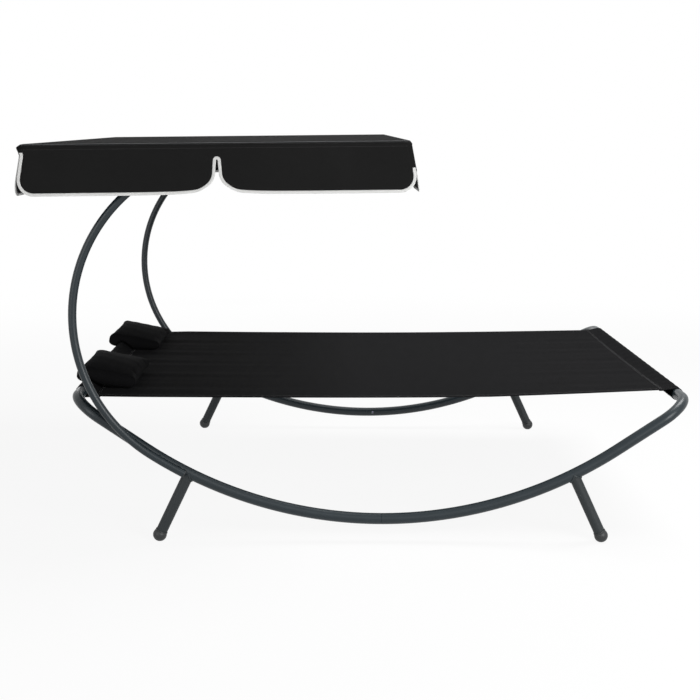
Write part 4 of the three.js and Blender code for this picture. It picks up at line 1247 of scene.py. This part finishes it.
def leaned(points, side):
    # From a pillow's own place, its base's middle, onto the bed: its front lower edge lies on the sheet
    # and it leans on the head sleeve
    frontX = -crossX - pillow["overhang"] + pillow["width"]
    frontZ = plainHeight(frontX) + pillow["overSheet"]
    reachX, reachZ = frontX + crossX, frontZ - crossZ
    lean = asin((bed["tube"] + pillow["overTube"]) / hypot(reachX, reachZ)) - atan2(reachZ, reachX)
    half, away = pillow["width"] / 2, sides[side] * pillow["spacing"] / 2
    middle = np.array([frontX - half * cos(lean) + shiftX, away, frontZ + half * sin(lean)]) + pillow["shift"][side]
    x, y, z = np.moveaxis(points, -1, 0)
    return together(x * cos(lean) + z * sin(lean), y, -x * sin(lean) + z * cos(lean)) + middle


def supportHeight(x, y):
    # The upper side of what a pillow lies on: the sheet, the sleeve's slope and its round over the tube
    line = sleeveLine(seamHeights["head"])
    line = line[: int(np.argmax(line[:, 0])) + 1]
    onSleeve = np.interp(-x, line[:, 0], line[:, 1], right=0.0)
    return np.where(-x < seamX, sheetHeight(x, y), onSleeve) + sling["thickness"] / 2 + pillow["over"]


def settled(points, side):
    # Sunk by its own weight: what lies under the support is lifted to it, and the filling gives way above
    sink, below = pillow["sink"][side], pillow["below"]
    placed = leaned(points - up * sink, side)
    under = points * [1, 1, 0] - up * (sink + below)
    floor = supportHeight(placed[:, 0] - shiftX, placed[:, 1])
    lift = np.maximum(floor - leaned(under, side)[:, 2], 0)
    placed[:, 2] += lift * np.clip(1 - (points[:, 2] + below) / pillow["depth"], 0, 1)
    placed[:, 2] = np.maximum(placed[:, 2], floor)
    return placed


def pillowBlock(a, b, c):
    # A cube's surface (a, b, c from -1 to 1) as a crowned block whose sides pull in between its corners
    drawIn = pillow["drawIn"] * (1 - np.sqrt(np.clip(1 - c * c, 0, 1)))
    x = a * (pillow["width"] / 2 - pillow["shrink"] - drawIn * (1.6 - 0.6 * b * b))
    y = b * (pillow["length"] / 2 - pillow["shrink"] - drawIn * (2 - a * a))
    crown = pillow["crown"] * np.sqrt(np.clip(1 - a**4, 0, 1)) * (1 - b * b)
    return together(x, y, (pillow["thickness"] - pillow["crown"] + crown) * (1 + c) / 2)


def cubeFaces(count):
    # Six faces of a cube from -1 to 1, each as three grids of coordinates
    p, q = np.meshgrid(*[np.linspace(-1, 1, count)] * 2, indexing="ij")
    for axis in range(3):
        for sign in (-1, 1):
            cube = [p, q]
            cube.insert(axis, sign * np.ones_like(p))
            yield cube


def fillPillow(made, shots=20):
    # Swells a remeshed copy of the block as cloth under pressure, with every point's travel capped
    remesh = made.modifiers.new("even faces", "REMESH")
    remesh.mode, remesh.voxel_size = "VOXEL", pillow["voxel"]
    bpy.context.view_layer.update()
    block, made.data = made.data, bpy.data.meshes.new_from_object(modified(made))
    made.modifiers.clear()
    bpy.data.meshes.remove(block)
    rest = readPoints(made)
    cloth = made.modifiers.new("filling", "CLOTH")
    cloth.settings.use_pressure = True
    cloth.settings.uniform_pressure_force = pillow["pressure"]
    cloth.settings.effector_weights.gravity = 0
    cloth.settings.quality = 4
    cloth.settings.bending_stiffness = 0.6
    for shot in range(1, shots + 1):
        bpy.context.scene.frame_set(shot)
    travel = readPoints(made) - rest
    made.modifiers.remove(cloth)
    bpy.context.scene.frame_set(1)
    far = np.linalg.norm(travel, axis=1)[:, None]
    writePoints(made, rest + travel * np.minimum(1, pillow["cap"] / np.maximum(far, 1e-9)))


def modified(made):
    return made.evaluated_get(bpy.context.evaluated_depsgraph_get())


def readPoints(made):
    mesh = modified(made).data
    points = np.zeros(len(mesh.vertices) * 3)
    mesh.vertices.foreach_get("co", points)
    return points.reshape(-1, 3)


def writePoints(made, points):
    made.data.vertices.foreach_set("co", points.ravel())
    made.data.update()


def makePillow(side, sign):
    grids = [grid(pillowBlock(*face), "sheet") for face in cubeFaces(25)]
    name = f"pillow_{side}"
    made = piece("bed_" + name, grids, "pillow", name, name, 80, 0.0002)
    fillPillow(made)
    # creases run in from the corners and the ends, where the filling pulls at the seams
    x, y, z = readPoints(made).T
    high = np.clip(z / pillow["thickness"], 0, 1)
    towards = np.clip(np.abs(y) / (pillow["length"] / 2), 0, 1) ** 3
    fine = np.sin(y * 74 + 1.3 * sign + x * 20) * (1 - towards) * high
    crease = pillow["crease"] * np.sin(x * 150 + sign) * towards + pillow["fineCrease"] * fine
    flatter = 1 - 0.03 * (1 + sign) / 2 - 0.05 * np.clip(x / pillow["width"] + 0.1, 0, 0.6)
    writePoints(made, settled(together(x, y, (z + crease * (z > 0.01)) * flatter), side))
    made.data.polygons.foreach_set("use_smooth", np.ones(len(made.data.polygons), bool))
    smooth = made.modifiers.new("one finer level", "SUBSURF")
    smooth.levels = smooth.render_levels = 1


for side, sign in sides.items():
    makePillow(side, sign)
print("pillows made")

# Floor and light
light = {
    "floor": 0.93,
    "glow": 0.91,  # share of white in the floor as it is seen, near the middle
    "fade": (2.2, 6.0),  # where it goes over into white
    "world": 0.1,
    "aim": (0, 0, 0.5),
    "lamps": {
        "key": {"place": (2.6, -4.4, 1.8), "size": 2.2, "power": 142},
        "fill": {"place": (-3.4, -4.2, 1.5), "size": 2.4, "power": 42},
        "top": {"place": (1.9, 0.3, 4.0), "size": 2.0, "power": 145},
        "back": {"place": (-1.2, 4.8, 1.5), "size": 2.6, "power": 24},
    },
}


def seen(s):
    # Whether a ray comes from the camera, straight or by a reflection or through something clear
    path = s.node("LightPath")
    return path["Is Camera Ray"].maths("MAXIMUM", path["Is Glossy Ray"]).maths("MAXIMUM", path["Is Transmission Ray"])


def makeFloor(size=60):
    s = Shader("pale floor")
    away = s.node("VectorMath", {"operation": "LENGTH"}, {0: s.place()})["Value"]
    shownOnly = seen(s)
    stops = {"Value": away, "From Min": light["fade"][0], "From Max": light["fade"][1]}
    fade = s.node("MapRange", {"interpolation_type": "SMOOTHSTEP"}, stops)["Result"]
    paper = s.node("BsdfDiffuse", None, {"Color": (light["floor"],) * 3 + (1,)})["BSDF"]
    glow = s.node("Emission", None, {"Color": (1, 1, 1, 1), "Strength": 1.0})["Emission"]
    share = (fade * (1 - light["glow"]) + light["glow"]) * shownOnly
    s.node("OutputMaterial", None, {"Surface": s.node("MixShader", None, {0: share, 1: paper, 2: glow})["Shader"]})
    mesh = bpy.data.meshes.new("floor")
    mesh.from_pydata([(-size, -size, 0), (size, -size, 0), (size, size, 0), (-size, size, 0)], [], [(0, 1, 2, 3)])
    mesh.materials.append(s.block)
    shown("floor", mesh)


def makeWorld():
    world = bpy.context.scene.world = bpy.data.worlds.new("studio")
    w = Shader("studio", world)
    shownOnly = seen(w)
    soft, white = (
        w.node("Background", None, {"Color": (1, 1, 1, 1), "Strength": strength})["Background"]
        for strength in (light["world"], 1.0)
    )
    both = w.node("MixShader", None, {0: shownOnly, 1: soft, 2: white})["Shader"]
    w.node("OutputWorld", None, {"Surface": both})


def makeLamps():
    for name, lamp in light["lamps"].items():
        data = bpy.data.lights.new(name, "AREA")
        data.energy, data.size = lamp["power"], lamp["size"]
        made = shown(name, data)
        made.location = lamp["place"]
        made.rotation_euler = (Vector(light["aim"]) - made.location).to_track_quat("-Z", "Y").to_euler()


makeFloor()
makeWorld()
makeLamps()
print("stage made")
